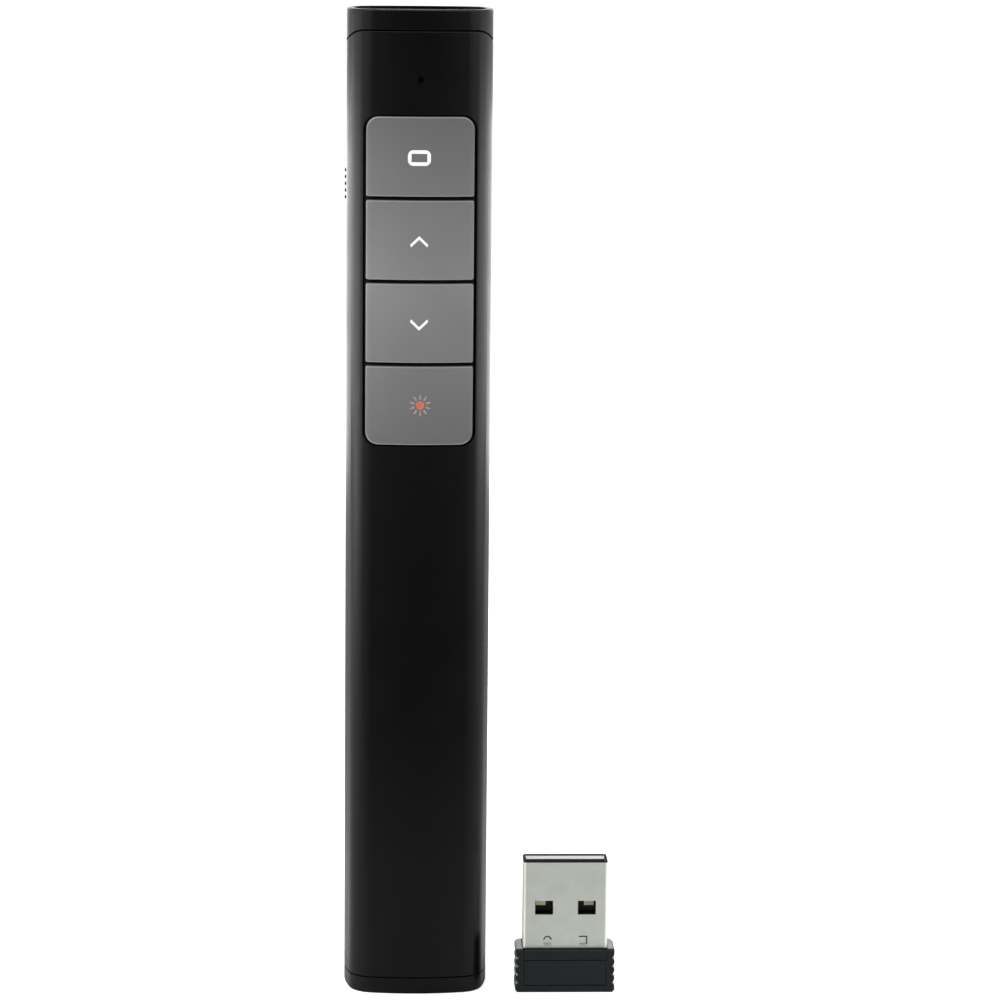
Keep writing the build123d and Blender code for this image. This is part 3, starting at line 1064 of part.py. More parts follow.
# ---------------------------------------------------------------- receiver
with BuildPart() as receiver_housing:
    with Locations((RECEIVER_X, RECEIVER_Y, 0)):
        Box(GRIP_BLOCK_WIDTH, GRIP_BLOCK_DEPTH, GRIP_BLOCK_HEIGHT, align=STANDING)
    uprights = receiver_housing.edges().filter_by(Axis.Z).group_by(Axis.Y)
    fillet(uprights[0], GRIP_FRONT_CORNER)
    fillet(receiver_housing.edges().filter_by(Axis.Z).group_by(Axis.Y)[-1], GRIP_BACK_CORNER)
    chamfer(receiver_housing.faces().sort_by(Axis.Z)[-1].edges(), GRIP_TOP_BREAK)
    chamfer(receiver_housing.faces().sort_by(Axis.Z)[0].edges(), GRIP_FOOT_BREAK)
    # finger lobes down both sides
    lobes_height = (LOBE_COUNT - 1) * LOBE_PITCH
    for side in (-1, 1):
        side_x = RECEIVER_X + side * GRIP_BLOCK_WIDTH / 2
        with BuildSketch(front_plane(RECEIVER_Y + GRIP_BLOCK_DEPTH / 2)) as valleys:
            with Locations((side_x, LOBE_BOTTOM_Z + lobes_height / 2)):
                Rectangle(2 * LOBE_DEPTH, lobes_height)
            lobe_x = side_x - side * LOBE_RADIUS
            for index in range(LOBE_COUNT):
                with Locations((lobe_x, LOBE_BOTTOM_Z + index * LOBE_PITCH)):
                    Circle(LOBE_RADIUS, mode=Mode.SUBTRACT)
        extrude(amount=GRIP_BLOCK_DEPTH, mode=Mode.SUBTRACT)
    # well for the plug
    well_width = PLUG_WIDTH + 2 * PLUG_SEAT_GAP
    well_depth = PLUG_DEPTH + 2 * PLUG_SEAT_GAP
    with BuildSketch(Plane.XY.offset(GRIP_FLOOR)) as well:
        with Locations((RECEIVER_X, RECEIVER_Y)):
            RectangleRounded(well_width, well_depth, PLUG_CORNER + PLUG_SEAT_GAP)
    extrude(amount=GRIP_TOP - GRIP_FLOOR, mode=Mode.SUBTRACT)
    # border lines of the front panel
    panel_x = GRIP_BLOCK_WIDTH / 2 - PANEL_SIDE
    with Locations((RECEIVER_X, RECEIVER_Y - GRIP_BLOCK_DEPTH / 2, 0)):
        with Locations((-panel_x, 0, PANEL_FOOT), (panel_x, 0, PANEL_FOOT)):
            Box(
                PANEL_LINE_WIDTH,
                2 * PANEL_LINE_DEPTH,
                GRIP_BLOCK_HEIGHT,
                align=STANDING,
                mode=Mode.SUBTRACT,
            )
        with Locations((0, 0, PANEL_FOOT), (0, 0, GRIP_TOP - PANEL_TOP_LINE)):
            Box(
                2 * panel_x,
                2 * PANEL_LINE_DEPTH,
                PANEL_LINE_WIDTH,
                mode=Mode.SUBTRACT,
            )
save(receiver_housing, "receiver_housing")

with BuildPart() as usb_shell:
    with BuildSketch(Plane.XY.offset(PLUG_BOTTOM)) as shell_ring:
        with Locations((RECEIVER_X, RECEIVER_Y)):
            RectangleRounded(PLUG_WIDTH, PLUG_DEPTH, PLUG_CORNER)
            RectangleRounded(
                PLUG_WIDTH - 2 * PLUG_WALL,
                PLUG_DEPTH - 2 * PLUG_WALL,
                PLUG_CORNER - PLUG_WALL,
                mode=Mode.SUBTRACT,
            )
    extrude(amount=PLUG_TOP - PLUG_BOTTOM)
    fillet(usb_shell.faces().sort_by(Axis.Z)[-1].outer_wire().edges(), SHELL_RIM_BREAK)
    for window_x in (-PLUG_WINDOW_X, PLUG_WINDOW_X):
        with Locations((RECEIVER_X + window_x, RECEIVER_Y, PLUG_TOP - PLUG_WINDOW_DROP)):
            Box(PLUG_WINDOW_WIDTH, PLUG_DEPTH, PLUG_WINDOW_HEIGHT, mode=Mode.SUBTRACT)
    # stamped tabs above the grip, one round and one square
    with BuildSketch(front_plane(RECEIVER_Y)) as stamps:
        stamp_top = GRIP_TOP + STAMP_RISE + STAMP_HEIGHT
        with Locations((RECEIVER_X + STAMP_LEFT_X, stamp_top - STAMP_WIDTH / 2)):
            Circle(STAMP_WIDTH / 2)
            Circle(STAMP_WIDTH / 2 - STAMP_SLIT, mode=Mode.SUBTRACT)
            Rectangle(STAMP_WIDTH, STAMP_WIDTH, align=(Align.CENTER, Align.MAX), mode=Mode.SUBTRACT)
        with Locations((RECEIVER_X + STAMP_RIGHT_X, stamp_top)):
            Rectangle(STAMP_WIDTH, STAMP_SLIT, align=(Align.CENTER, Align.MAX))
            with Locations((STAMP_WIDTH / 2, 0)):
                Rectangle(STAMP_SLIT, STAMP_WIDTH, align=(Align.MAX, Align.MAX))
    extrude(amount=PLUG_DEPTH, mode=Mode.SUBTRACT)
    foot_y = RECEIVER_Y - PLUG_DEPTH / 2
    foot_z = GRIP_TOP + STAMP_RISE / 2
    foot_top = foot_z + STAMP_FOOT_HEIGHT
    for stamp_x in (STAMP_LEFT_X, STAMP_RIGHT_X):
        with BuildSketch(Plane.YZ.offset(RECEIVER_X + stamp_x - STAMP_FOOT_WIDTH / 2)):
            Polygon((foot_y, foot_z), (foot_y, foot_top), (foot_y + STAMP_DIMPLE, foot_top), align=None)
        extrude(amount=STAMP_FOOT_WIDTH, mode=Mode.SUBTRACT)
save(usb_shell, "usb_shell")

with BuildPart() as usb_tongue:
    with Locations((RECEIVER_X, TONGUE_BACK_Y, PLUG_TOP - TONGUE_MOUTH_GAP)):
        Box(INNER_WIDTH, TONGUE_BLOCK_DEPTH, TONGUE_BLOCK_LENGTH, align=AHEAD_HANGING)
    fillet(usb_tongue.faces().sort_by(Axis.Z)[-1].edges().filter_by(Axis.X), TONGUE_BLOCK_DEPTH / 6)
save(usb_tongue, "usb_tongue")

with BuildPart() as contact_carrier:
    with Locations((RECEIVER_X, PLUG_BACK_Y, TONGUE_END_Z)):
        Box(INNER_WIDTH, TONGUE_BLOCK_DEPTH + TONGUE_BACK_GAP, CARRIER_LENGTH, align=AHEAD_HANGING)
save(contact_carrier, "contact_carrier")

with BuildPart() as usb_contacts:
    pin_y = TONGUE_BACK_Y - TONGUE_BLOCK_DEPTH
    pin_top = PLUG_TOP - TONGUE_MOUTH_GAP - PIN_SETBACK
    pin_columns = (-PIN_OUTER_X, -PIN_INNER_X, PIN_INNER_X, PIN_OUTER_X)
    with Locations(*[(RECEIVER_X + x, pin_y, pin_top) for x in pin_columns]):
        Box(PIN_WIDTH, PIN_THICKNESS, PIN_LENGTH, align=AHEAD_HANGING)
save(usb_contacts, "usb_contacts")

with BuildPart() as receiver_board:
    board_length = TONGUE_END_Z - CARRIER_LENGTH - PLUG_BOTTOM
    with Locations((RECEIVER_X, PLUG_BACK_Y, PLUG_BOTTOM)):
        Box(INNER_WIDTH, RECEIVER_BOARD_THICKNESS, board_length, align=AHEAD_STANDING)
save(receiver_board, "receiver_board")

with BuildPart() as receiver_chip:
    with Locations((RECEIVER_X, PLUG_BACK_Y - RECEIVER_BOARD_THICKNESS, GRIP_TOP)):
        Box(RECEIVER_CHIP_SIZE, RECEIVER_CHIP_HEIGHT, RECEIVER_CHIP_SIZE, align=AHEAD)
save(receiver_chip, "receiver_chip")
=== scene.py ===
import math

import bmesh
import bpy
from mathutils import Matrix, Vector


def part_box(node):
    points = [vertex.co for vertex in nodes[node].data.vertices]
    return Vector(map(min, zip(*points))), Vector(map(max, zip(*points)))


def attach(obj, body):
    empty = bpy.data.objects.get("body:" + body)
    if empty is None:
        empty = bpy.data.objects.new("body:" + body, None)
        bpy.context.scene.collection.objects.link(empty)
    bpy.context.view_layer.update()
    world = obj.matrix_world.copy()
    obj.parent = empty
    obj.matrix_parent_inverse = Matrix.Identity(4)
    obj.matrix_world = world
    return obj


MM = 0.001
PER_MM = 1000.0               # from a count per millimetre to a count per metre

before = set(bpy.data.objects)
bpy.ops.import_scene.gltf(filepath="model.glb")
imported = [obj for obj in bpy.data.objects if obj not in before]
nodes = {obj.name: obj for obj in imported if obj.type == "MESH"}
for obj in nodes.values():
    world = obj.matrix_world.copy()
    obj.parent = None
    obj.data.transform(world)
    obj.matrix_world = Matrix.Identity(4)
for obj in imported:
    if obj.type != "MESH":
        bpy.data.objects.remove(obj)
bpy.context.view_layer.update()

KEYS = ("blank_screen", "page_up", "page_down", "laser")


# ---------------------------------------------------------------- node trees
def add_node(tree, kind, sockets=None, **settings):
    """A node with its settings made and its input sockets set or linked."""
    node = tree.nodes.new(kind)
    for setting, value in settings.items():
        setattr(node, setting, value)
    for socket, value in (sockets or {}).items():
        if isinstance(value, bpy.types.NodeSocket):
            tree.links.new(value, node.inputs[socket])
        else:
            node.inputs[socket].default_value = value
    return node


def math_node(tree, operation, first, second=0.0, clamp=False):
    """The result of one sum; an operation on one value leaves the second out."""
    node = add_node(tree, "ShaderNodeMath", {0: first, 1: second}, operation=operation)
    node.use_clamp = clamp
    return node.outputs[0]


def spread(tree, value, low, high, start=0.0, end=1.0):
    """The value taken from the range low to high onto start to end."""
    sockets = {"Value": value, "From Min": low, "From Max": high, "To Min": start, "To Max": end}
    return add_node(tree, "ShaderNodeMapRange", sockets).outputs["Result"]


def blend_colours(tree, amount, first, second):
    """The first colour where the amount is 0, the second where it is 1."""
    node = add_node(tree, "ShaderNodeMix", data_type="RGBA")
    for socket, value in ((0, amount), (6, first), (7, second)):
        if isinstance(value, bpy.types.NodeSocket):
            tree.links.new(value, node.inputs[socket])
        else:
            node.inputs[socket].default_value = value
    return node.outputs[2]


def colour(red, green, blue):
    return (red, green, blue, 1.0)


def new_group(name, inputs, outputs):
    """A shader node group with named float inputs (with their usual values) and float outputs."""
    group = bpy.data.node_groups.new(name, "ShaderNodeTree")
    for socket, value in inputs.items():
        made = group.interface.new_socket(name=socket, in_out="INPUT", socket_type="NodeSocketFloat")
        made.default_value = value
    for socket in outputs:
        group.interface.new_socket(name=socket, in_out="OUTPUT", socket_type="NodeSocketFloat")
    return group, group.nodes.new("NodeGroupInput").outputs, group.nodes.new("NodeGroupOutput").inputs


def use_group(tree, group, sockets=None):
    """The outputs of a group placed in a tree, with some of its inputs set."""
    node = tree.nodes.new("ShaderNodeGroup")
    node.node_tree = group
    for socket, value in (sockets or {}).items():
        node.inputs[socket].default_value = value
    return node.outputs


DUST_SPECKS = 900.0           # places per metre where a speck of dust may lie
CLOUD_RANGE = (0.3, 0.7)      # part of a noise that is spread over the whole mottling
WEAR_AND_HIGHLIGHT_TURN = (0.995, 0.8)       # cosine of an edge's turn where its wear and painted highlight start and are full
DRAWN_STRETCH = (1.0, 1.0, 0.03)        # draws a noise out along Z into lines
TRACE_EDGE = (0.09, 0.06)     # distance from a cell's border where a trace ends and is full
PAD_EDGE = (0.14, 0.12)       # the same for a pad, from its middle


def make_moulded_skin():
    """Spark-eroded grain, slow mottling and settled dust of a moulded plastic face."""
    group, given, out = new_group(
        "moulded_skin",
        {"Grains per mm": 7.0, "Patches per mm": 0.12, "Dust": 0.02},
        ("Grain", "Mottle", "Dust"),
    )
    place = add_node(group, "ShaderNodeTexCoord").outputs["Object"]
    grain_scale = math_node(group, "MULTIPLY", given["Grains per mm"], PER_MM)
    patch_scale = math_node(group, "MULTIPLY", given["Patches per mm"], PER_MM)
    grain = add_node(group, "ShaderNodeTexNoise", {"Vector": place, "Scale": grain_scale, "Detail": 2.0})
    patches = add_node(group, "ShaderNodeTexNoise", {"Vector": place, "Scale": patch_scale, "Detail": 4.0})
    specks = add_node(group, "ShaderNodeTexVoronoi", {"Vector": place, "Scale": DUST_SPECKS}, feature="F1")
    speck_size = math_node(group, "MULTIPLY", specks.outputs["Color"], given["Dust"])
    speck = math_node(group, "LESS_THAN", specks.outputs["Distance"], speck_size)
    group.links.new(grain.outputs["Fac"], out["Grain"])
    group.links.new(spread(group, patches.outputs["Fac"], *CLOUD_RANGE), out["Mottle"])
    group.links.new(speck, out["Dust"])
    return group


def make_edge_wear_and_highlight():
    """Where an edge is rounded over within the radius, as handling polishes it; the lighter colour that this
    mask feeds is partly rubbed wear and partly a painted highlight along the edge.
    """
    group, given, out = new_group("edge_wear_and_highlight", {"Radius": 0.15 * MM, "Strength": 1.0}, ("Edge",))
    rounded = add_node(group, "ShaderNodeBevel", {"Radius": given["Radius"]}, samples=6)
    sharp = add_node(group, "ShaderNodeNewGeometry").outputs["True Normal"]
    pair = {0: rounded.outputs[0], 1: sharp}
    agreement = add_node(group, "ShaderNodeVectorMath", pair, operation="DOT_PRODUCT").outputs["Value"]
    edge = spread(group, agreement, *WEAR_AND_HIGHLIGHT_TURN)
    group.links.new(math_node(group, "MULTIPLY", edge, given["Strength"], clamp=True), out["Edge"])
    return group


def make_drawn_metal():
    """Fine drawing lines along Z and cloudy tarnish of rolled or drawn metal."""
    group, given, out = new_group(
        "drawn_metal", {"Lines per mm": 14.0, "Clouds per mm": 0.5}, ("Lines", "Clouds"),
    )
    place = add_node(group, "ShaderNodeTexCoord").outputs["Object"]
    line_scale = math_node(group, "MULTIPLY", given["Lines per mm"], PER_MM)
    cloud_scale = math_node(group, "MULTIPLY", given["Clouds per mm"], PER_MM)
    drawn = add_node(group, "ShaderNodeMapping", {"Vector": place, "Scale": DRAWN_STRETCH}).outputs[0]
    lines = add_node(group, "ShaderNodeTexNoise", {"Vector": drawn, "Scale": line_scale, "Detail": 3.0})
    clouds = add_node(group, "ShaderNodeTexNoise", {"Vector": place, "Scale": cloud_scale, "Detail": 5.0})
    group.links.new(lines.outputs["Fac"], out["Lines"])
    group.links.new(spread(group, clouds.outputs["Fac"], *CLOUD_RANGE), out["Clouds"])
    return group


def make_circuit_face():
    """Copper traces and tinned pads under the lacquer of a circuit board."""
    group, given, out = new_group(
        "circuit_face", {"Traces per mm": 0.9, "Pads per mm": 0.7}, ("Traces", "Pads"),
    )
    place = add_node(group, "ShaderNodeTexCoord").outputs["Object"]
    parts = add_node(group, "ShaderNodeSeparateXYZ", {"Vector": place}).outputs
    trace_scale = math_node(group, "MULTIPLY", given["Traces per mm"], PER_MM)
    pad_scale = math_node(group, "MULTIPLY", given["Pads per mm"], PER_MM)
    flat = add_node(group, "ShaderNodeCombineXYZ", {"X": parts["X"], "Y": parts["Z"]}).outputs[0]
    cells = add_node(
        group, "ShaderNodeTexVoronoi", {"Vector": flat, "Scale": trace_scale, "Randomness": 0.6},
        feature="DISTANCE_TO_EDGE",
    )
    dots = add_node(
        group, "ShaderNodeTexVoronoi", {"Vector": flat, "Scale": pad_scale, "Randomness": 0.3},
        feature="F1", distance="CHEBYCHEV",
    )
    group.links.new(spread(group, cells.outputs["Distance"], *TRACE_EDGE), out["Traces"])
    group.links.new(spread(group, dots.outputs["Distance"], *PAD_EDGE), out["Pads"])
    return group


moulded_skin = make_moulded_skin()
edge_wear_and_highlight = make_edge_wear_and_highlight()
drawn_metal = make_drawn_metal()
circuit_face = make_circuit_face()


# ---------------------------------------------------------------- finishes
DUST_COLOUR = colour(0.35, 0.34, 0.32)
SATIN_GRAIN = 0.003 * MM      # depths of grain and of drawing lines
FINE_GRAIN = 0.004 * MM
MATT_GRAIN = 0.006 * MM
TRACE_HEIGHT = 0.03 * MM
DEEP_SHARE = 0.8              # tone of the darker patches of a moulded face
CLEAR_SHARE = 0.94            # tone of the darker patches of a clear moulding
PLUG_MOUTH_SHADE = (0.22 * MM, 0.14 * MM)       # where the painted shade at the plug's mouth starts and is full, below the mouth
PLUG_METAL = (0.7, 0.15)      # metal share of the plug's broad faces and of its sides
GRIP_SLOT_SHADOW = (0.15 * MM, -0.05 * MM)     # outer and inner edge of the painted shadow round the plug
GRIP_SLOT_SHADOW_BAND = (0.2 * MM, 0.12 * MM)  # where it starts and is full, below the grip's top face
GRIP_TOP_LIGHT_BAND = (0.2 * MM, 0.1 * MM)    # the same for the painted light that makes that face paler
SHEEN_Z = 102 * MM           # middle of the painted sheen along the keys
SHEEN_REACH = 29 * MM
BAND_START = 0.72             # share of the cell's height where its coloured band starts
BARE_END = 0.03               # share of it that is bare metal at the top
INK_ROUGH = (0.5, 0.6)


def new_finish(name, **fixed):
    """A material with one Principled shader; the fixed values are the same all over the surface."""
    finish = bpy.data.materials.new(name)
    finish.use_nodes = True
    tree = finish.node_tree
    tree.nodes.clear()
    shader = tree.nodes.new("ShaderNodeBsdfPrincipled")
    surface = tree.nodes.new("ShaderNodeOutputMaterial")
    tree.links.new(shader.outputs[0], surface.inputs["Surface"])
    for socket, value in fixed.items():
        shader.inputs[socket.replace("_", " ")].default_value = value
    return finish, tree, shader.inputs


def raise_grain(tree, shader, height, depth, strength=1.0):
    """Grain of the given depth in metres, through a Bump node into the shader's normal."""
    sockets = {"Height": height, "Distance": depth, "Strength": strength}
    bump = add_node(tree, "ShaderNodeBump", sockets)
    tree.links.new(bump.outputs[0], shader["Normal"])


def moulded_plastic(name, base, worn, rough, grain_depth, grains, dust, edge):
    """Moulded plastic: base colour mottled, edges rubbed towards the worn colour, which also paints a
    highlight along them, fine grain.
    """
    finish, tree, shader = new_finish(name)
    skin = use_group(tree, moulded_skin, {"Grains per mm": grains, "Dust": dust})
    worn_highlit_edges = use_group(tree, edge_wear_and_highlight, {"Strength": edge})
    deep = colour(*[DEEP_SHARE * part for part in base[:3]])
    mottled = blend_colours(tree, skin["Mottle"], deep, base)
    # edges lighter: rubbed wear and a painted highlight
    rubbed_and_highlit = blend_colours(tree, worn_highlit_edges["Edge"], mottled, worn)
    dusty = blend_colours(tree, skin["Dust"], rubbed_and_highlit, DUST_COLOUR)
    tree.links.new(dusty, shader["Base Color"])
    tree.links.new(spread(tree, skin["Mottle"], 0.0, 1.0, *rough), shader["Roughness"])
    raise_grain(tree, shader, skin["Grain"], grain_depth)
    return finish


def drawn_finish(name, base, dull, rough, line_depth, metal_share=1.0):
    """Plated or drawn metal, clouded with a duller tone."""
    finish, tree, shader = new_finish(name, Metallic=metal_share)
    metal = use_group(tree, drawn_metal)
    tree.links.new(blend_colours(tree, metal["Clouds"], dull, base), shader["Base Color"])
    rough_low, rough_high = rough
    tree.links.new(spread(tree, metal["Clouds"], 0.0, 1.0, rough_high, rough_low), shader["Roughness"])
    raise_grain(tree, shader, metal["Lines"], line_depth)
    return finish


def facing_parts(tree):
    """X, Y and Z of the way that the surface faces."""
    facing = add_node(tree, "ShaderNodeNewGeometry").outputs["Normal"]
    return add_node(tree, "ShaderNodeSeparateXYZ", {"Vector": facing}).outputs


def place_parts(tree):
    """X, Y and Z of the place on the object."""
    place = add_node(tree, "ShaderNodeTexCoord").outputs["Object"]
    return add_node(tree, "ShaderNodeSeparateXYZ", {"Vector": place}).outputs


def plug_finish():
    """Stamped plug shell: plated steel, matt on its sides, with painted shade that makes it black at the
    mouth and dark on the pressed feet.
    """
    finish, tree, shader = new_finish("plug_steel")
    metal = use_group(tree, drawn_metal, {"Lines per mm": 16.0, "Clouds per mm": 0.35})
    clean = blend_colours(tree, metal["Clouds"], colour(0.82, 0.85, 0.78), colour(0.9, 0.93, 0.86))
    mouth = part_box("usb_shell")[1].z
    facing = facing_parts(tree)
    # painted shade: black near the mouth's top, where the inside of the plug is in shade
    mouth_shade = spread(tree, place_parts(tree)["Z"], *[mouth - depth for depth in PLUG_MOUTH_SHADE])
    # painted shade: faces tilted partly upward, on the pressed feet, get a darker colour
    foot_shade = spread(tree, facing["Z"], 0.2, 0.5)
    feet_shaded = blend_colours(tree, foot_shade, clean, colour(0.3, 0.31, 0.28))
    tree.links.new(blend_colours(tree, mouth_shade, feet_shaded, colour(0.002, 0.002, 0.002)), shader["Base Color"])
    flat = spread(tree, math_node(tree, "ABSOLUTE", facing["X"]), 0.3, 0.7, *PLUG_METAL)
    tree.links.new(math_node(tree, "MULTIPLY", flat, spread(tree, mouth_shade, 1.0, 0.0)), shader["Metallic"])
    worn = spread(tree, metal["Clouds"], 0.0, 1.0, 0.42, 0.34)
    tree.links.new(spread(tree, mouth_shade, 0.0, 1.0, worn, 0.9), shader["Roughness"])
    raise_grain(tree, shader, metal["Lines"], FINE_GRAIN)
    return finish


def grip_finish():
    """Charcoal receiver grip, with painted light that makes its top face paler and a black painted shadow
    round the plug where it comes out of it.
    """
    finish, tree, shader = new_finish("grip_charcoal")
    skin = use_group(tree, moulded_skin, {"Grains per mm": 6.0, "Dust": 0.02})
    worn_highlit_edges = use_group(tree, edge_wear_and_highlight, {"Strength": 0.5})
    low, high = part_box("receiver_housing")
    plug_low, plug_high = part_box("usb_shell")
    place = place_parts(tree)
    across = math_node(tree, "ABSOLUTE", math_node(tree, "SUBTRACT", place["X"], (low.x + high.x) / 2))
    slot_end = (plug_high.x - plug_low.x) / 2
    # painted shadow: a black band on the grip round the plug, where the gap between them is in shade
    slot_shadow = math_node(
        tree, "MULTIPLY",
        spread(tree, across, *[slot_end + reach for reach in GRIP_SLOT_SHADOW]),
        spread(tree, place["Z"], *[high.z - depth for depth in GRIP_SLOT_SHADOW_BAND]),
    )
    mottled = blend_colours(
        tree, skin["Mottle"], colour(0.0052, 0.0072, 0.0088), colour(0.0065, 0.009, 0.011),
    )
    # edges lighter: rubbed wear and a painted highlight
    rubbed_and_highlit = blend_colours(tree, worn_highlit_edges["Edge"], mottled, colour(0.03, 0.034, 0.037))
    # painted light: faces that look up, near the top, get a paler colour
    top = math_node(
        tree, "MULTIPLY",
        spread(tree, facing_parts(tree)["Z"], 0.75, 0.95),
        spread(tree, place["Z"], *[high.z - depth for depth in GRIP_TOP_LIGHT_BAND]),
    )
    top_painted_light = blend_colours(tree, top, rubbed_and_highlit, colour(0.17, 0.175, 0.18))
    slot_shadowed = blend_colours(tree, slot_shadow, top_painted_light, colour(0.001, 0.001, 0.001))
    dusty = blend_colours(tree, skin["Dust"], slot_shadowed, DUST_COLOUR)
    tree.links.new(dusty, shader["Base Color"])
    rough = spread(tree, skin["Mottle"], 0.0, 1.0, 0.32, 0.4)
    tree.links.new(spread(tree, slot_shadow, 0.0, 1.0, rough, 0.95), shader["Roughness"])
    raise_grain(tree, shader, skin["Grain"], MATT_GRAIN)
    return finish


def tongue_finish():
    """Tongue of the plug: white on its end, with painted shade that makes it near black down its sides."""
    finish, tree, shader = new_finish("tongue_white")
    skin = use_group(tree, moulded_skin, {"Grains per mm": 6.0, "Dust": 0.0})
    up = facing_parts(tree)["Z"]
    white = blend_colours(tree, skin["Mottle"], colour(0.72, 0.72, 0.7), colour(0.82, 0.82, 0.8))
    # painted shade: every face but the upward end is coloured near black
    sides_shaded = blend_colours(tree, spread(tree, up, 0.5, 0.8), colour(0.01, 0.01, 0.01), white)
    tree.links.new(sides_shaded, shader["Base Color"])
    tree.links.new(spread(tree, skin["Mottle"], 0.0, 1.0, 0.4, 0.5), shader["Roughness"])
    raise_grain(tree, shader, skin["Grain"], FINE_GRAIN)
    return finish


def board_finish():
    """Green lacquered circuit board with traces and tinned pads."""
    finish, tree, shader = new_finish("board_green")
    face = use_group(tree, circuit_face)
    skin = use_group(tree, moulded_skin, {"Grains per mm": 3.0, "Dust": 0.0})
    green = blend_colours(tree, skin["Mottle"], colour(0.002, 0.009, 0.004), colour(0.003, 0.014, 0.006))
    traced = blend_colours(tree, face["Traces"], green, colour(0.006, 0.028, 0.012))
    padded = blend_colours(tree, face["Pads"], traced, colour(0.3, 0.29, 0.25))
    tree.links.new(padded, shader["Base Color"])
    tree.links.new(face["Pads"], shader["Metallic"])
    tree.links.new(spread(tree, skin["Mottle"], 0.0, 1.0, 0.3, 0.4), shader["Roughness"])
    raise_grain(tree, shader, face["Traces"], TRACE_HEIGHT)
    return finish


def cell_finish():
    """Battery jacket: printed foil in two plain bands over a bare metal end."""
    finish, tree, shader = new_finish("cell_jacket", Coat_Weight=0.3)
    low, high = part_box("battery_cell")
    length = high.z - low.z
    metal = use_group(tree, drawn_metal, {"Lines per mm": 6.0})
    height = place_parts(tree)["Z"]
    band = math_node(tree, "GREATER_THAN", height, low.z + BAND_START * length)
    bare = math_node(tree, "GREATER_THAN", height, high.z - BARE_END * length)
    jacket = blend_colours(tree, band, colour(0.02, 0.02, 0.022), colour(0.55, 0.3, 0.1))
    shown = blend_colours(tree, bare, jacket, colour(0.7, 0.7, 0.7))
    tree.links.new(shown, shader["Base Color"])
    tree.links.new(math_node(tree, "MAXIMUM", band, bare), shader["Metallic"])
    tree.links.new(spread(tree, metal["Clouds"], 0.0, 1.0, 0.25, 0.38), shader["Roughness"])
    raise_grain(tree, shader, metal["Lines"], SATIN_GRAIN)
    return finish


def clear_finish(name, tint, rough, index=1.49):
    """Clear moulding: glass-like, a little wavy."""
    finish, tree, shader = new_finish(name, Transmission_Weight=1.0, Metallic=0.0, IOR=index)
    skin = use_group(tree, moulded_skin, {"Grains per mm": 1.5, "Dust": 0.0})
    faded = colour(*[CLEAR_SHARE * part for part in tint[:3]])
    tree.links.new(blend_colours(tree, skin["Mottle"], tint, faded), shader["Base Color"])
    tree.links.new(spread(tree, skin["Mottle"], 0.0, 1.0, rough, rough + 0.05), shader["Roughness"])
    raise_grain(tree, shader, skin["Grain"], FINE_GRAIN)
    return finish


def keycap_finish():
    """Grey rubber-feel keycaps, with a painted sheen that makes the middle of the pad paler and painted
    highlights on the keys' brims.
    """
    finish, tree, shader = new_finish("keycap_grey", Specular_IOR_Level=0.4)
    skin = use_group(tree, moulded_skin, {"Grains per mm": 8.0, "Dust": 0.02})
    worn_highlit_edges = use_group(tree, edge_wear_and_highlight, {"Strength": 0.6})
    height = place_parts(tree)["Z"]
    # painted sheen: the keys' colour is paler towards the middle of the pad
    off_middle = math_node(tree, "ABSOLUTE", math_node(tree, "SUBTRACT", height, SHEEN_Z))
    sheen = spread(tree, off_middle, SHEEN_REACH, 0.0)
    toned = blend_colours(tree, sheen, colour(0.096, 0.096, 0.098), colour(0.188, 0.188, 0.19))
    grime = math_node(tree, "MULTIPLY", skin["Mottle"], 0.12)
    mottled = blend_colours(tree, grime, toned, colour(0.08, 0.08, 0.08))
    # painted highlight on the rounded brim above and below, which neither the face nor the side wall belongs
    # to
    tilt = math_node(tree, "ABSOLUTE", facing_parts(tree)["Z"])
    brim_highlight = math_node(tree, "MULTIPLY", spread(tree, tilt, 0.1, 0.4), spread(tree, tilt, 0.97, 0.85))
    # edges lighter from rubbed wear, with the painted highlight on the brims
    edge = math_node(tree, "MAXIMUM", worn_highlit_edges["Edge"], brim_highlight)
    rubbed_and_highlit = blend_colours(tree, edge, mottled, colour(0.24, 0.24, 0.24))
    dusty = blend_colours(tree, skin["Dust"], rubbed_and_highlit, DUST_COLOUR)
    tree.links.new(dusty, shader["Base Color"])
    tree.links.new(spread(tree, skin["Mottle"], 0.0, 1.0, 0.4, 0.48), shader["Roughness"])
    raise_grain(tree, shader, skin["Grain"], MATT_GRAIN)
    return finish


def ink_finish(name, full, thin):
    """Pad-printed ink: a little thinner in places."""
    finish, tree, shader = new_finish(name, Specular_IOR_Level=0.3)
    skin = use_group(tree, moulded_skin, {"Grains per mm": 9.0, "Patches per mm": 1.6, "Dust": 0.0})
    tree.links.new(blend_colours(tree, skin["Mottle"], thin, full), shader["Base Color"])
    tree.links.new(spread(tree, skin["Mottle"], 0.0, 1.0, *INK_ROUGH), shader["Roughness"])
    raise_grain(tree, shader, skin["Grain"], FINE_GRAIN)
    return finish


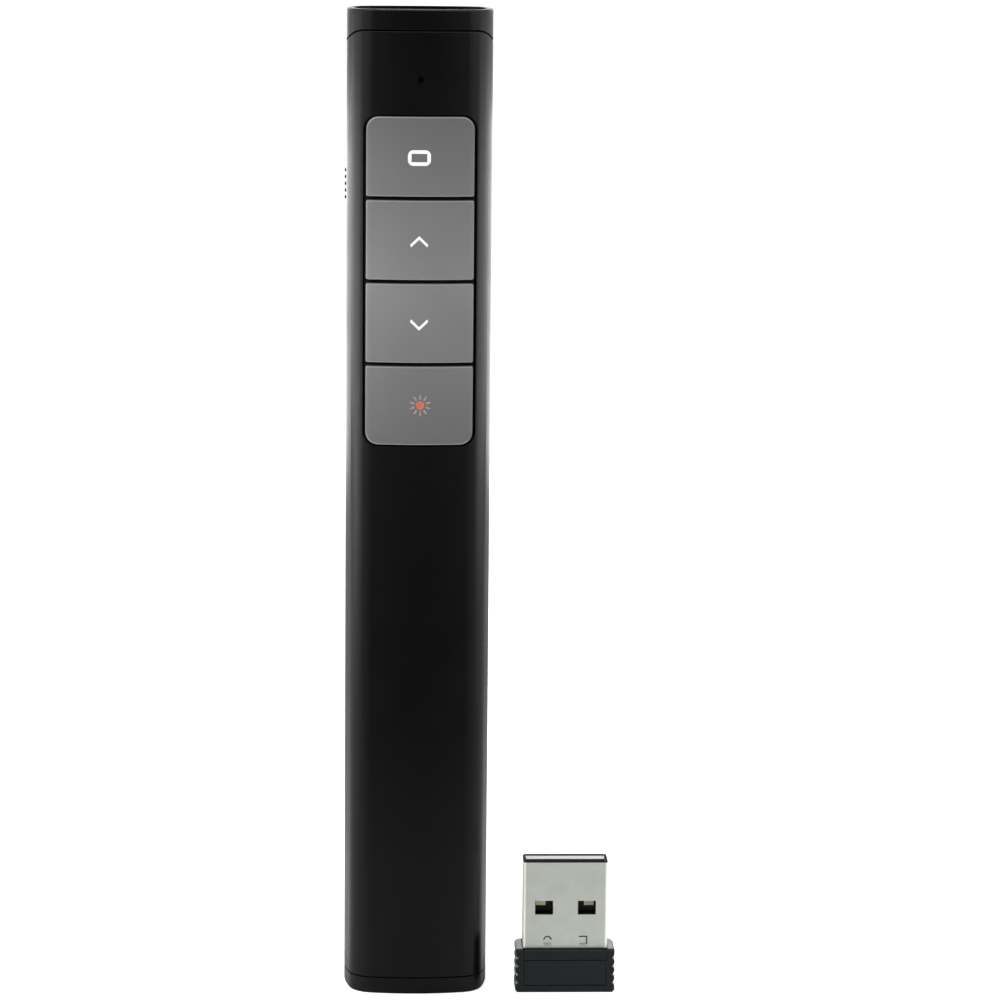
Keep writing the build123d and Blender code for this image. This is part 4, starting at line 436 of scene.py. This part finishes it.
shell_black = moulded_plastic(
    "shell_black", colour(0.0016, 0.0016, 0.0017), colour(0.012, 0.012, 0.012), (0.22, 0.28),
    SATIN_GRAIN, grains=6.0, dust=0.01, edge=0.5,
)
nose_black = moulded_plastic(
    "nose_black", colour(0.0016, 0.0016, 0.0016), colour(0.01, 0.01, 0.01), (0.2, 0.26),
    SATIN_GRAIN, grains=9.0, dust=0.02, edge=0.4,
)
keycap_grey = keycap_finish()
slider_black = moulded_plastic(
    "slider_black", colour(0.006, 0.006, 0.006), colour(0.03, 0.03, 0.03), (0.36, 0.45),
    MATT_GRAIN, grains=8.0, dust=0.02, edge=0.8,
)
grip_charcoal = grip_finish()
tongue_white = tongue_finish()
inner_black = moulded_plastic(
    "inner_black", colour(0.014, 0.014, 0.015), colour(0.03, 0.03, 0.03), (0.4, 0.5),
    MATT_GRAIN, grains=7.0, dust=0.02, edge=0.5,
)
frame_grey = moulded_plastic(
    "frame_grey", colour(0.05, 0.05, 0.052), colour(0.09, 0.09, 0.09), (0.45, 0.55),
    MATT_GRAIN, grains=7.0, dust=0.02, edge=0.5,
)
plunger_cream = moulded_plastic(
    "plunger_cream", colour(0.62, 0.58, 0.48), colour(0.7, 0.66, 0.56), (0.35, 0.45),
    FINE_GRAIN, grains=7.0, dust=0.0, edge=0.3,
)
lead_red = moulded_plastic(
    "lead_red", colour(0.42, 0.02, 0.015), colour(0.5, 0.05, 0.04), (0.3, 0.4),
    FINE_GRAIN, grains=9.0, dust=0.0, edge=0.2,
)
plug_steel = plug_finish()
pin_gold = drawn_finish(
    "pin_gold", colour(1.0, 0.94, 0.72), colour(0.95, 0.86, 0.62), (0.3, 0.4), 0.002 * MM, metal_share=0.3,
)
can_nickel = drawn_finish(
    "can_nickel", colour(0.72, 0.71, 0.68), colour(0.6, 0.59, 0.57), (0.22, 0.34), SATIN_GRAIN,
)
screw_steel = drawn_finish(
    "screw_steel", colour(0.5, 0.5, 0.5), colour(0.36, 0.36, 0.37), (0.28, 0.4), FINE_GRAIN,
)
barrel_brass = drawn_finish(
    "barrel_brass", colour(0.78, 0.58, 0.27), colour(0.62, 0.44, 0.2), (0.24, 0.36), FINE_GRAIN,
)
board_green = board_finish()
cell_jacket = cell_finish()
lens_clear = clear_finish("lens_clear", colour(0.96, 0.98, 1.0), 0.03)
pipe_clear = clear_finish("pipe_clear", colour(0.02, 0.02, 0.02), 0.12, index=1.2)
led_red = clear_finish("led_red", colour(0.75, 0.18, 0.12), 0.15)
ink_white = ink_finish("ink_white", colour(0.86, 0.86, 0.86), colour(0.76, 0.76, 0.76))
ink_orange = ink_finish("ink_orange", colour(0.56, 0.15, 0.095), colour(0.44, 0.12, 0.08))
ink_pale = ink_finish("ink_pale", colour(0.4, 0.32, 0.28), colour(0.3, 0.24, 0.22))

FINISHES = {
    shell_black: ("front_cover", "rear_housing", "tail_dock", "battery_door"),
    nose_black: ("nose_plate",),
    keycap_grey: tuple(key + "_key" for key in KEYS),
    slider_black: ("power_knob",),
    grip_charcoal: ("receiver_housing",),
    tongue_white: ("usb_tongue",),
    inner_black: (
        "slide_switch", "switch_lever", "radio_chip", "chip_parts", "boost_inductor", "receiver_chip",
        "contact_carrier", *("tact_switch_" + key for key in KEYS),
    ),
    frame_grey: ("key_frame",),
    plunger_cream: tuple("switch_plunger_" + key for key in KEYS),
    lead_red: ("laser_leads", "battery_lead"),
    plug_steel: ("usb_shell",),
    pin_gold: ("usb_contacts",),
    can_nickel: ("crystal_can", "smoothing_capacitor", "dock_magnet", "positive_contact", "negative_contact"),
    screw_steel: ("case_screw", "board_screws", "negative_spring"),
    barrel_brass: ("laser_barrel",),
    board_green: ("main_board", "laser_driver", "receiver_board"),
    cell_jacket: ("battery_cell",),
    lens_clear: ("laser_lens",),
    pipe_clear: ("light_pipe",),
    led_red: ("status_led",),
}
for finish, names in FINISHES.items():
    for name in names:
        mesh = nodes[name].data
        mesh.materials.clear()
        mesh.materials.append(finish)


# ---------------------------------------------------------------- printed icons
INK_THICKNESS = 0.02 * MM
INK_BITE = 0.04 * MM          # how far the ink's skirt reaches into the key
FRAME_SHIFT = (-0.15, -0.15)  # icons' middles from their keys' middles, across and up, in mm
UP_SHIFT = (-0.115, 0.63)
DOWN_SHIFT = (-0.075, -0.985)
LASER_SHIFT = (0.14, 0.1)
HALVINGS = 40
CHEVRON = {"half_width": 1.27, "slope": 0.96, "thickness": 0.5, "end_cut": 0.14}


def new_piece(name, built, finish):
    """A piece of the scene made from a built mesh, all in one finish."""
    mesh = bpy.data.meshes.new(name)
    built.to_mesh(mesh)
    built.free()
    mesh.materials.append(finish)
    piece = bpy.data.objects.new(name, mesh)
    bpy.context.scene.collection.objects.link(piece)
    return piece


def print_on_key(name, key, faces, finish, shift):
    """Ink laid on a key's face: polygons of (x, z), shifted from the key's middle, in mm."""
    cap = nodes[key + "_key"]
    low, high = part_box(key + "_key")
    middle = (low + high) / 2 + Vector((shift[0], 0, shift[1])) * MM
    mesh = bmesh.new()
    laid = {}
    for face in faces:
        corners = []
        for x, z in face:
            spot = (round(x, 4), round(z, 4))
            if spot not in laid:
                start = Vector((middle.x + x * MM, low.y - MM, middle.z + z * MM))
                found, touch, _, _ = cap.ray_cast(start, Vector((0, 1, 0)))
                if not found:
                    raise ValueError(name + " misses its key")
                laid[spot] = mesh.verts.new((touch.x, touch.y - INK_THICKNESS, touch.z))
            corners.append(laid[spot])
        mesh.faces.new(corners)
    bmesh.ops.recalc_face_normals(mesh, faces=mesh.faces[:])
    if sum(face.normal.y for face in mesh.faces) > 0:
        bmesh.ops.reverse_faces(mesh, faces=mesh.faces[:])
    skirt = bmesh.ops.extrude_face_region(mesh, geom=mesh.faces[:])
    inner = [item for item in skirt["geom"] if isinstance(item, bmesh.types.BMVert)]
    bmesh.ops.translate(mesh, verts=inner, vec=(0, INK_THICKNESS + INK_BITE, 0))
    bmesh.ops.recalc_face_normals(mesh, faces=mesh.faces[:])
    icon = new_piece(name, mesh, finish)
    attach(icon, key + "_button")


def frame_faces(width, height, stroke, radius, steps=96):
    """A screen's outline, rounded outside and square inside, found step by step round its middle."""
    inner_w, inner_h = width / 2 - stroke, height / 2 - stroke
    outer, inner = [], []
    for step in range(steps):
        angle = 2 * math.pi * (step + 0.5) / steps
        across, up = math.cos(angle), math.sin(angle)
        reach = min(inner_w / max(abs(across), 1e-6), inner_h / max(abs(up), 1e-6))
        inner.append((across * reach, up * reach))
        # the rounded edge lies where halving the reach again and again leads
        low_reach, high_reach = 0.0, width
        for _ in range(HALVINGS):
            reach = (low_reach + high_reach) / 2
            x, z = abs(across) * reach, abs(up) * reach
            corner_x, corner_z = max(x - (width / 2 - radius), 0), max(z - (height / 2 - radius), 0)
            if math.hypot(corner_x, corner_z) < radius:
                low_reach = reach
            else:
                high_reach = reach
        outer.append((across * low_reach, up * low_reach))
    return [
        (outer[i], outer[(i + 1) % steps], inner[(i + 1) % steps], inner[i]) for i in range(steps)
    ]


def chevron_faces(half_width, slope, thickness, end_cut, up, steps=6):
    """An arrowhead of two strokes with its point at the middle; thickness is measured along Z."""
    faces = []
    for side in (-1, 1):
        for step in range(steps):
            quad = []
            for share, depth in ((step, 0), (step + 1, 0), (step + 1, 1), (step, 1)):
                x = (half_width - depth * end_cut) * share / steps
                quad.append((side * x, -(slope * x + depth * thickness) * up))
            faces.append(quad)
    return faces


def disc_faces(radius, steps=40, rings=3):
    """A round dot in rings, so that it follows the key's curve."""
    faces = []
    for ring in range(rings):
        inside, outside = radius * ring / rings, radius * (ring + 1) / rings
        for step in range(steps):
            start, end = 2 * math.pi * step / steps, 2 * math.pi * (step + 1) / steps
            corners = [(start, inside), (start, outside), (end, outside), (end, inside)]
            if ring == 0:
                corners = corners[:3]
            faces.append([(math.cos(angle) * reach, math.sin(angle) * reach) for angle, reach in corners])
    return faces


def ray_faces(count, start, end, width):
    """Rays round the laser's dot, each narrowing outwards to two thirds of its width."""
    faces = []
    for ray in range(count):
        angle = 2 * math.pi * ray / count + math.pi / 2
        out, side = Vector((math.cos(angle), math.sin(angle))), Vector((-math.sin(angle), math.cos(angle)))
        root, tip = out * start, out * end
        faces.append([
            tuple(root - side * width / 2), tuple(tip - side * width / 3),
            tuple(tip + side * width / 3), tuple(root + side * width / 2),
        ])
    return faces


screen = frame_faces(width=3.2, height=2.18, stroke=0.51, radius=0.78)
print_on_key("blank_screen_icon", "blank_screen", screen, ink_white, FRAME_SHIFT)
print_on_key("page_up_icon", "page_up", chevron_faces(up=1, **CHEVRON), ink_white, UP_SHIFT)
print_on_key("page_down_icon", "page_down", chevron_faces(up=-1, **CHEVRON), ink_white, DOWN_SHIFT)
print_on_key("laser_icon_dot", "laser", disc_faces(radius=0.6), ink_orange, LASER_SHIFT)
rays = ray_faces(count=10, start=0.86, end=1.52, width=0.24)
print_on_key("laser_icon_rays", "laser", rays, ink_pale, LASER_SHIFT)


# ---------------------------------------------------------------- lip behind the seam
PARTING_Y = 0.6 * MM          # where the front cover meets the rear housing
SHELL_WALL = 1.4 * MM
LIP_REACH = (-0.5 * MM, 0.4 * MM)       # in front of the seam and behind it
LIP_DEPTH = (0.02 * MM, 0.17 * MM)      # inward from the wall's inner face
LIP_ENDS = (10 * MM, 2.6 * MM)          # short of the cover's foot and of its top


def add_seam_lip(name, side):
    """The thin lip inside a flank that keeps light out of the seam between the shells."""
    low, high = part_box("front_cover")
    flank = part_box("rear_housing")[1].x - SHELL_WALL
    corners = [
        (side * (flank - depth), PARTING_Y + reach, z)
        for z in (low.z + LIP_ENDS[0], high.z - LIP_ENDS[1])
        for depth in LIP_DEPTH
        for reach in LIP_REACH
    ]
    mesh = bmesh.new()
    bmesh.ops.convex_hull(mesh, input=[mesh.verts.new(corner) for corner in corners])
    bmesh.ops.recalc_face_normals(mesh, faces=mesh.faces[:])
    lip = new_piece(name, mesh, inner_black)
    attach(lip, "handset")


add_seam_lip("seam_lip_right", 1)
add_seam_lip("seam_lip_left", -1)


# ---------------------------------------------------------------- table and light
STUDIO_FILL = 0.62            # light that the white studio gives from all round
TABLE_REACH = 6.0
TABLE_GAP = 0.02 * MM         # the table lies this far below the base
TABLE_GLOW = 0.6              # what the camera sees beyond the light that falls on the table

# What gloss sees of the table and the studio. The headings are the Y part of the way outward: -1 is where
# the camera stands. Each tone has the distances in metres, or headings, that it runs between, then its ends.
FAR_TABLE = (0.33, 0.5)
TONE_AHEAD = (0.08, 0.2, 0.18, 0.02)
TONE_ASIDE = (0.05, 0.2, 0.3, 0.11)
TONE_BEHIND = (0.05, 0.2, 0.5, 0.27)
FAR_AHEAD = 0.12              # added to the tone of the far table
FAR_ASIDE = 0.3
DARK_HEADINGS = (-0.97, -0.72)
SIDE_HEADINGS = (-0.72, 0.7)
STUDIO_FRONT = (-0.97, -0.74, 0.0, 0.8)
STUDIO_BACK = (0.2, 0.7, 1.0, 0.55)


def make_floor():
    """Pale table that keeps the shadows; gloss sees it greyer, and darker towards the camera's end."""
    mesh = bpy.data.meshes.new("table_top")
    reach = TABLE_REACH
    corners = [(-reach, -reach, 0), (reach, -reach, 0), (reach, reach, 0), (-reach, reach, 0)]
    mesh.from_pydata(corners, [], [(0, 1, 2, 3)])
    floor = bpy.data.objects.new("table_top", mesh)
    bpy.context.scene.collection.objects.link(floor)
    floor.location.z = -TABLE_GAP
    finish, tree, shader = new_finish("table_white", Roughness=0.8, Specular_IOR_Level=0.1)
    place = add_node(tree, "ShaderNodeTexCoord").outputs["Object"]
    distance = add_node(tree, "ShaderNodeVectorMath", {0: place}, operation="LENGTH").outputs["Value"]
    outward = add_node(tree, "ShaderNodeVectorMath", {0: place}, operation="NORMALIZE").outputs[0]
    heading = add_node(tree, "ShaderNodeSeparateXYZ", {"Vector": outward}).outputs["Y"]
    cloud = add_node(tree, "ShaderNodeTexNoise", {"Vector": place, "Scale": 9.0, "Detail": 3.0})
    shade = blend_colours(tree, cloud.outputs["Fac"], colour(0.86, 0.86, 0.86), colour(0.9, 0.9, 0.9))
    far = spread(tree, distance, *FAR_TABLE)
    ahead = math_node(
        tree, "ADD", spread(tree, distance, *TONE_AHEAD), math_node(tree, "MULTIPLY", far, FAR_AHEAD),
    )
    aside = math_node(
        tree, "ADD", spread(tree, distance, *TONE_ASIDE), math_node(tree, "MULTIPLY", far, FAR_ASIDE),
    )
    behind = spread(tree, distance, *TONE_BEHIND)
    turned = spread(tree, heading, *SIDE_HEADINGS, aside, behind)
    tone = spread(tree, heading, *DARK_HEADINGS, ahead, turned)
    mirrored = add_node(tree, "ShaderNodeCombineXYZ", {"X": tone, "Y": tone, "Z": tone}).outputs[0]
    ray = add_node(tree, "ShaderNodeLightPath").outputs
    tree.links.new(blend_colours(tree, ray["Is Glossy Ray"], shade, mirrored), shader["Base Color"])
    shader["Emission Color"].default_value = colour(1, 1, 1)
    glow = math_node(tree, "MULTIPLY", ray["Is Camera Ray"], TABLE_GLOW)
    tree.links.new(glow, shader["Emission Strength"])
    mesh.materials.append(finish)


def make_world():
    """White studio for the camera, an even fill for the light, and a dark front end for gloss."""
    world = bpy.data.worlds.new("studio")
    bpy.context.scene.world = world
    world.use_nodes = True
    tree = world.node_tree
    tree.nodes.clear()
    outward = add_node(tree, "ShaderNodeTexCoord").outputs["Generated"]
    heading = add_node(tree, "ShaderNodeSeparateXYZ", {"Vector": outward}).outputs["Y"]
    gloss = math_node(
        tree, "MULTIPLY", spread(tree, heading, *STUDIO_FRONT), spread(tree, heading, *STUDIO_BACK),
    )
    ray = add_node(tree, "ShaderNodeLightPath").outputs
    seen = math_node(tree, "ADD", ray["Is Camera Ray"], ray["Is Transmission Ray"], clamp=True)
    plain = spread(tree, seen, 0.0, 1.0, STUDIO_FILL, 1.0)
    mirrored = math_node(tree, "MULTIPLY", gloss, ray["Is Glossy Ray"])
    unmirrored = math_node(tree, "MULTIPLY", plain, spread(tree, ray["Is Glossy Ray"], 1.0, 0.0))
    strength = math_node(tree, "ADD", mirrored, unmirrored)
    light = add_node(tree, "ShaderNodeBackground", {"Color": colour(1, 1, 1), "Strength": strength})
    output = tree.nodes.new("ShaderNodeOutputWorld")
    tree.links.new(light.outputs[0], output.inputs["Surface"])


def soft_box(name, place, aim, size, power, in_gloss=True):
    """A rectangular soft box at a place, turned to the aim point; metres and watts."""
    lamp = bpy.data.lights.new(name, "AREA")
    lamp.shape = "RECTANGLE"
    lamp.size, lamp.size_y = size
    lamp.energy = power
    box = bpy.data.objects.new(name, lamp)
    bpy.context.scene.collection.objects.link(box)
    box.location = place
    box.rotation_euler = (Vector(aim) - Vector(place)).to_track_quat("-Z", "Y").to_euler()
    box.visible_camera = False
    box.visible_glossy = in_gloss


CAMERA_PLACE = Vector((-9.681, -535.384, 156.987)) * MM
CAMERA_PITCH = 9.157          # degrees down
CAMERA_YAW = 2.3              # degrees towards +X
CAMERA_ROLL = 0.526
CAMERA_LENS = 136.42          # focal length in mm on the sensor's width
CAMERA_SENSOR = 36.0


def make_camera():
    """The camera, looking along its pitch and yaw and then rolled about that line."""
    pitch, yaw, roll = [math.radians(angle) for angle in (CAMERA_PITCH, CAMERA_YAW, CAMERA_ROLL)]
    ahead = Vector((math.sin(yaw) * math.cos(pitch), math.cos(yaw) * math.cos(pitch), -math.sin(pitch)))
    across = Vector((math.cos(yaw), -math.sin(yaw), 0))
    up = across.cross(ahead)
    right = math.cos(roll) * across + math.sin(roll) * up
    top = -math.sin(roll) * across + math.cos(roll) * up
    data = bpy.data.cameras.new("camera")
    data.sensor_width = CAMERA_SENSOR
    data.lens = CAMERA_LENS
    data.clip_start, data.clip_end = 0.05, 20.0
    camera = bpy.data.objects.new("camera", data)
    bpy.context.scene.collection.objects.link(camera)
    turn = Matrix((right, top, -ahead)).transposed().to_4x4()
    camera.matrix_world = Matrix.Translation(CAMERA_PLACE) @ turn
    bpy.context.scene.camera = camera


make_floor()
make_world()
# panels that the gloss of the flanks mirrors
soft_box("left_panel", (-0.3, 0.14, 0.072), aim=(0, 0.14, 0.072), size=(0.44, 0.076), power=0.2)
soft_box("right_panel", (0.3, 0.14, 0.072), aim=(0, 0.14, 0.072), size=(0.44, 0.076), power=0.18)
soft_box("back_panel", (0, 0.45, 0.05), aim=(0, 0, 0.05), size=(0.6, 0.1), power=0.22)
soft_box("back_strip", (0, 0.5, 0.1), aim=(0, 0, 0.1), size=(0.3, 0.26), power=0.27)
# soft light on the keys and the plug, which no gloss mirrors
soft_box("left_fill", (-0.5, 0.03, 0.1), aim=(0, 0, 0.09), size=(0.3, 0.2), power=3.4, in_gloss=False)
soft_box("right_fill", (0.5, 0.03, 0.1), aim=(0, 0, 0.09), size=(0.3, 0.2), power=1.2, in_gloss=False)
soft_box("front_fill", (-0.25, -0.7, 0.6), aim=(0, 0, 0.07), size=(0.5, 0.5), power=4.0, in_gloss=False)
make_camera()
bpy.context.scene.view_settings.view_transform = "Standard"
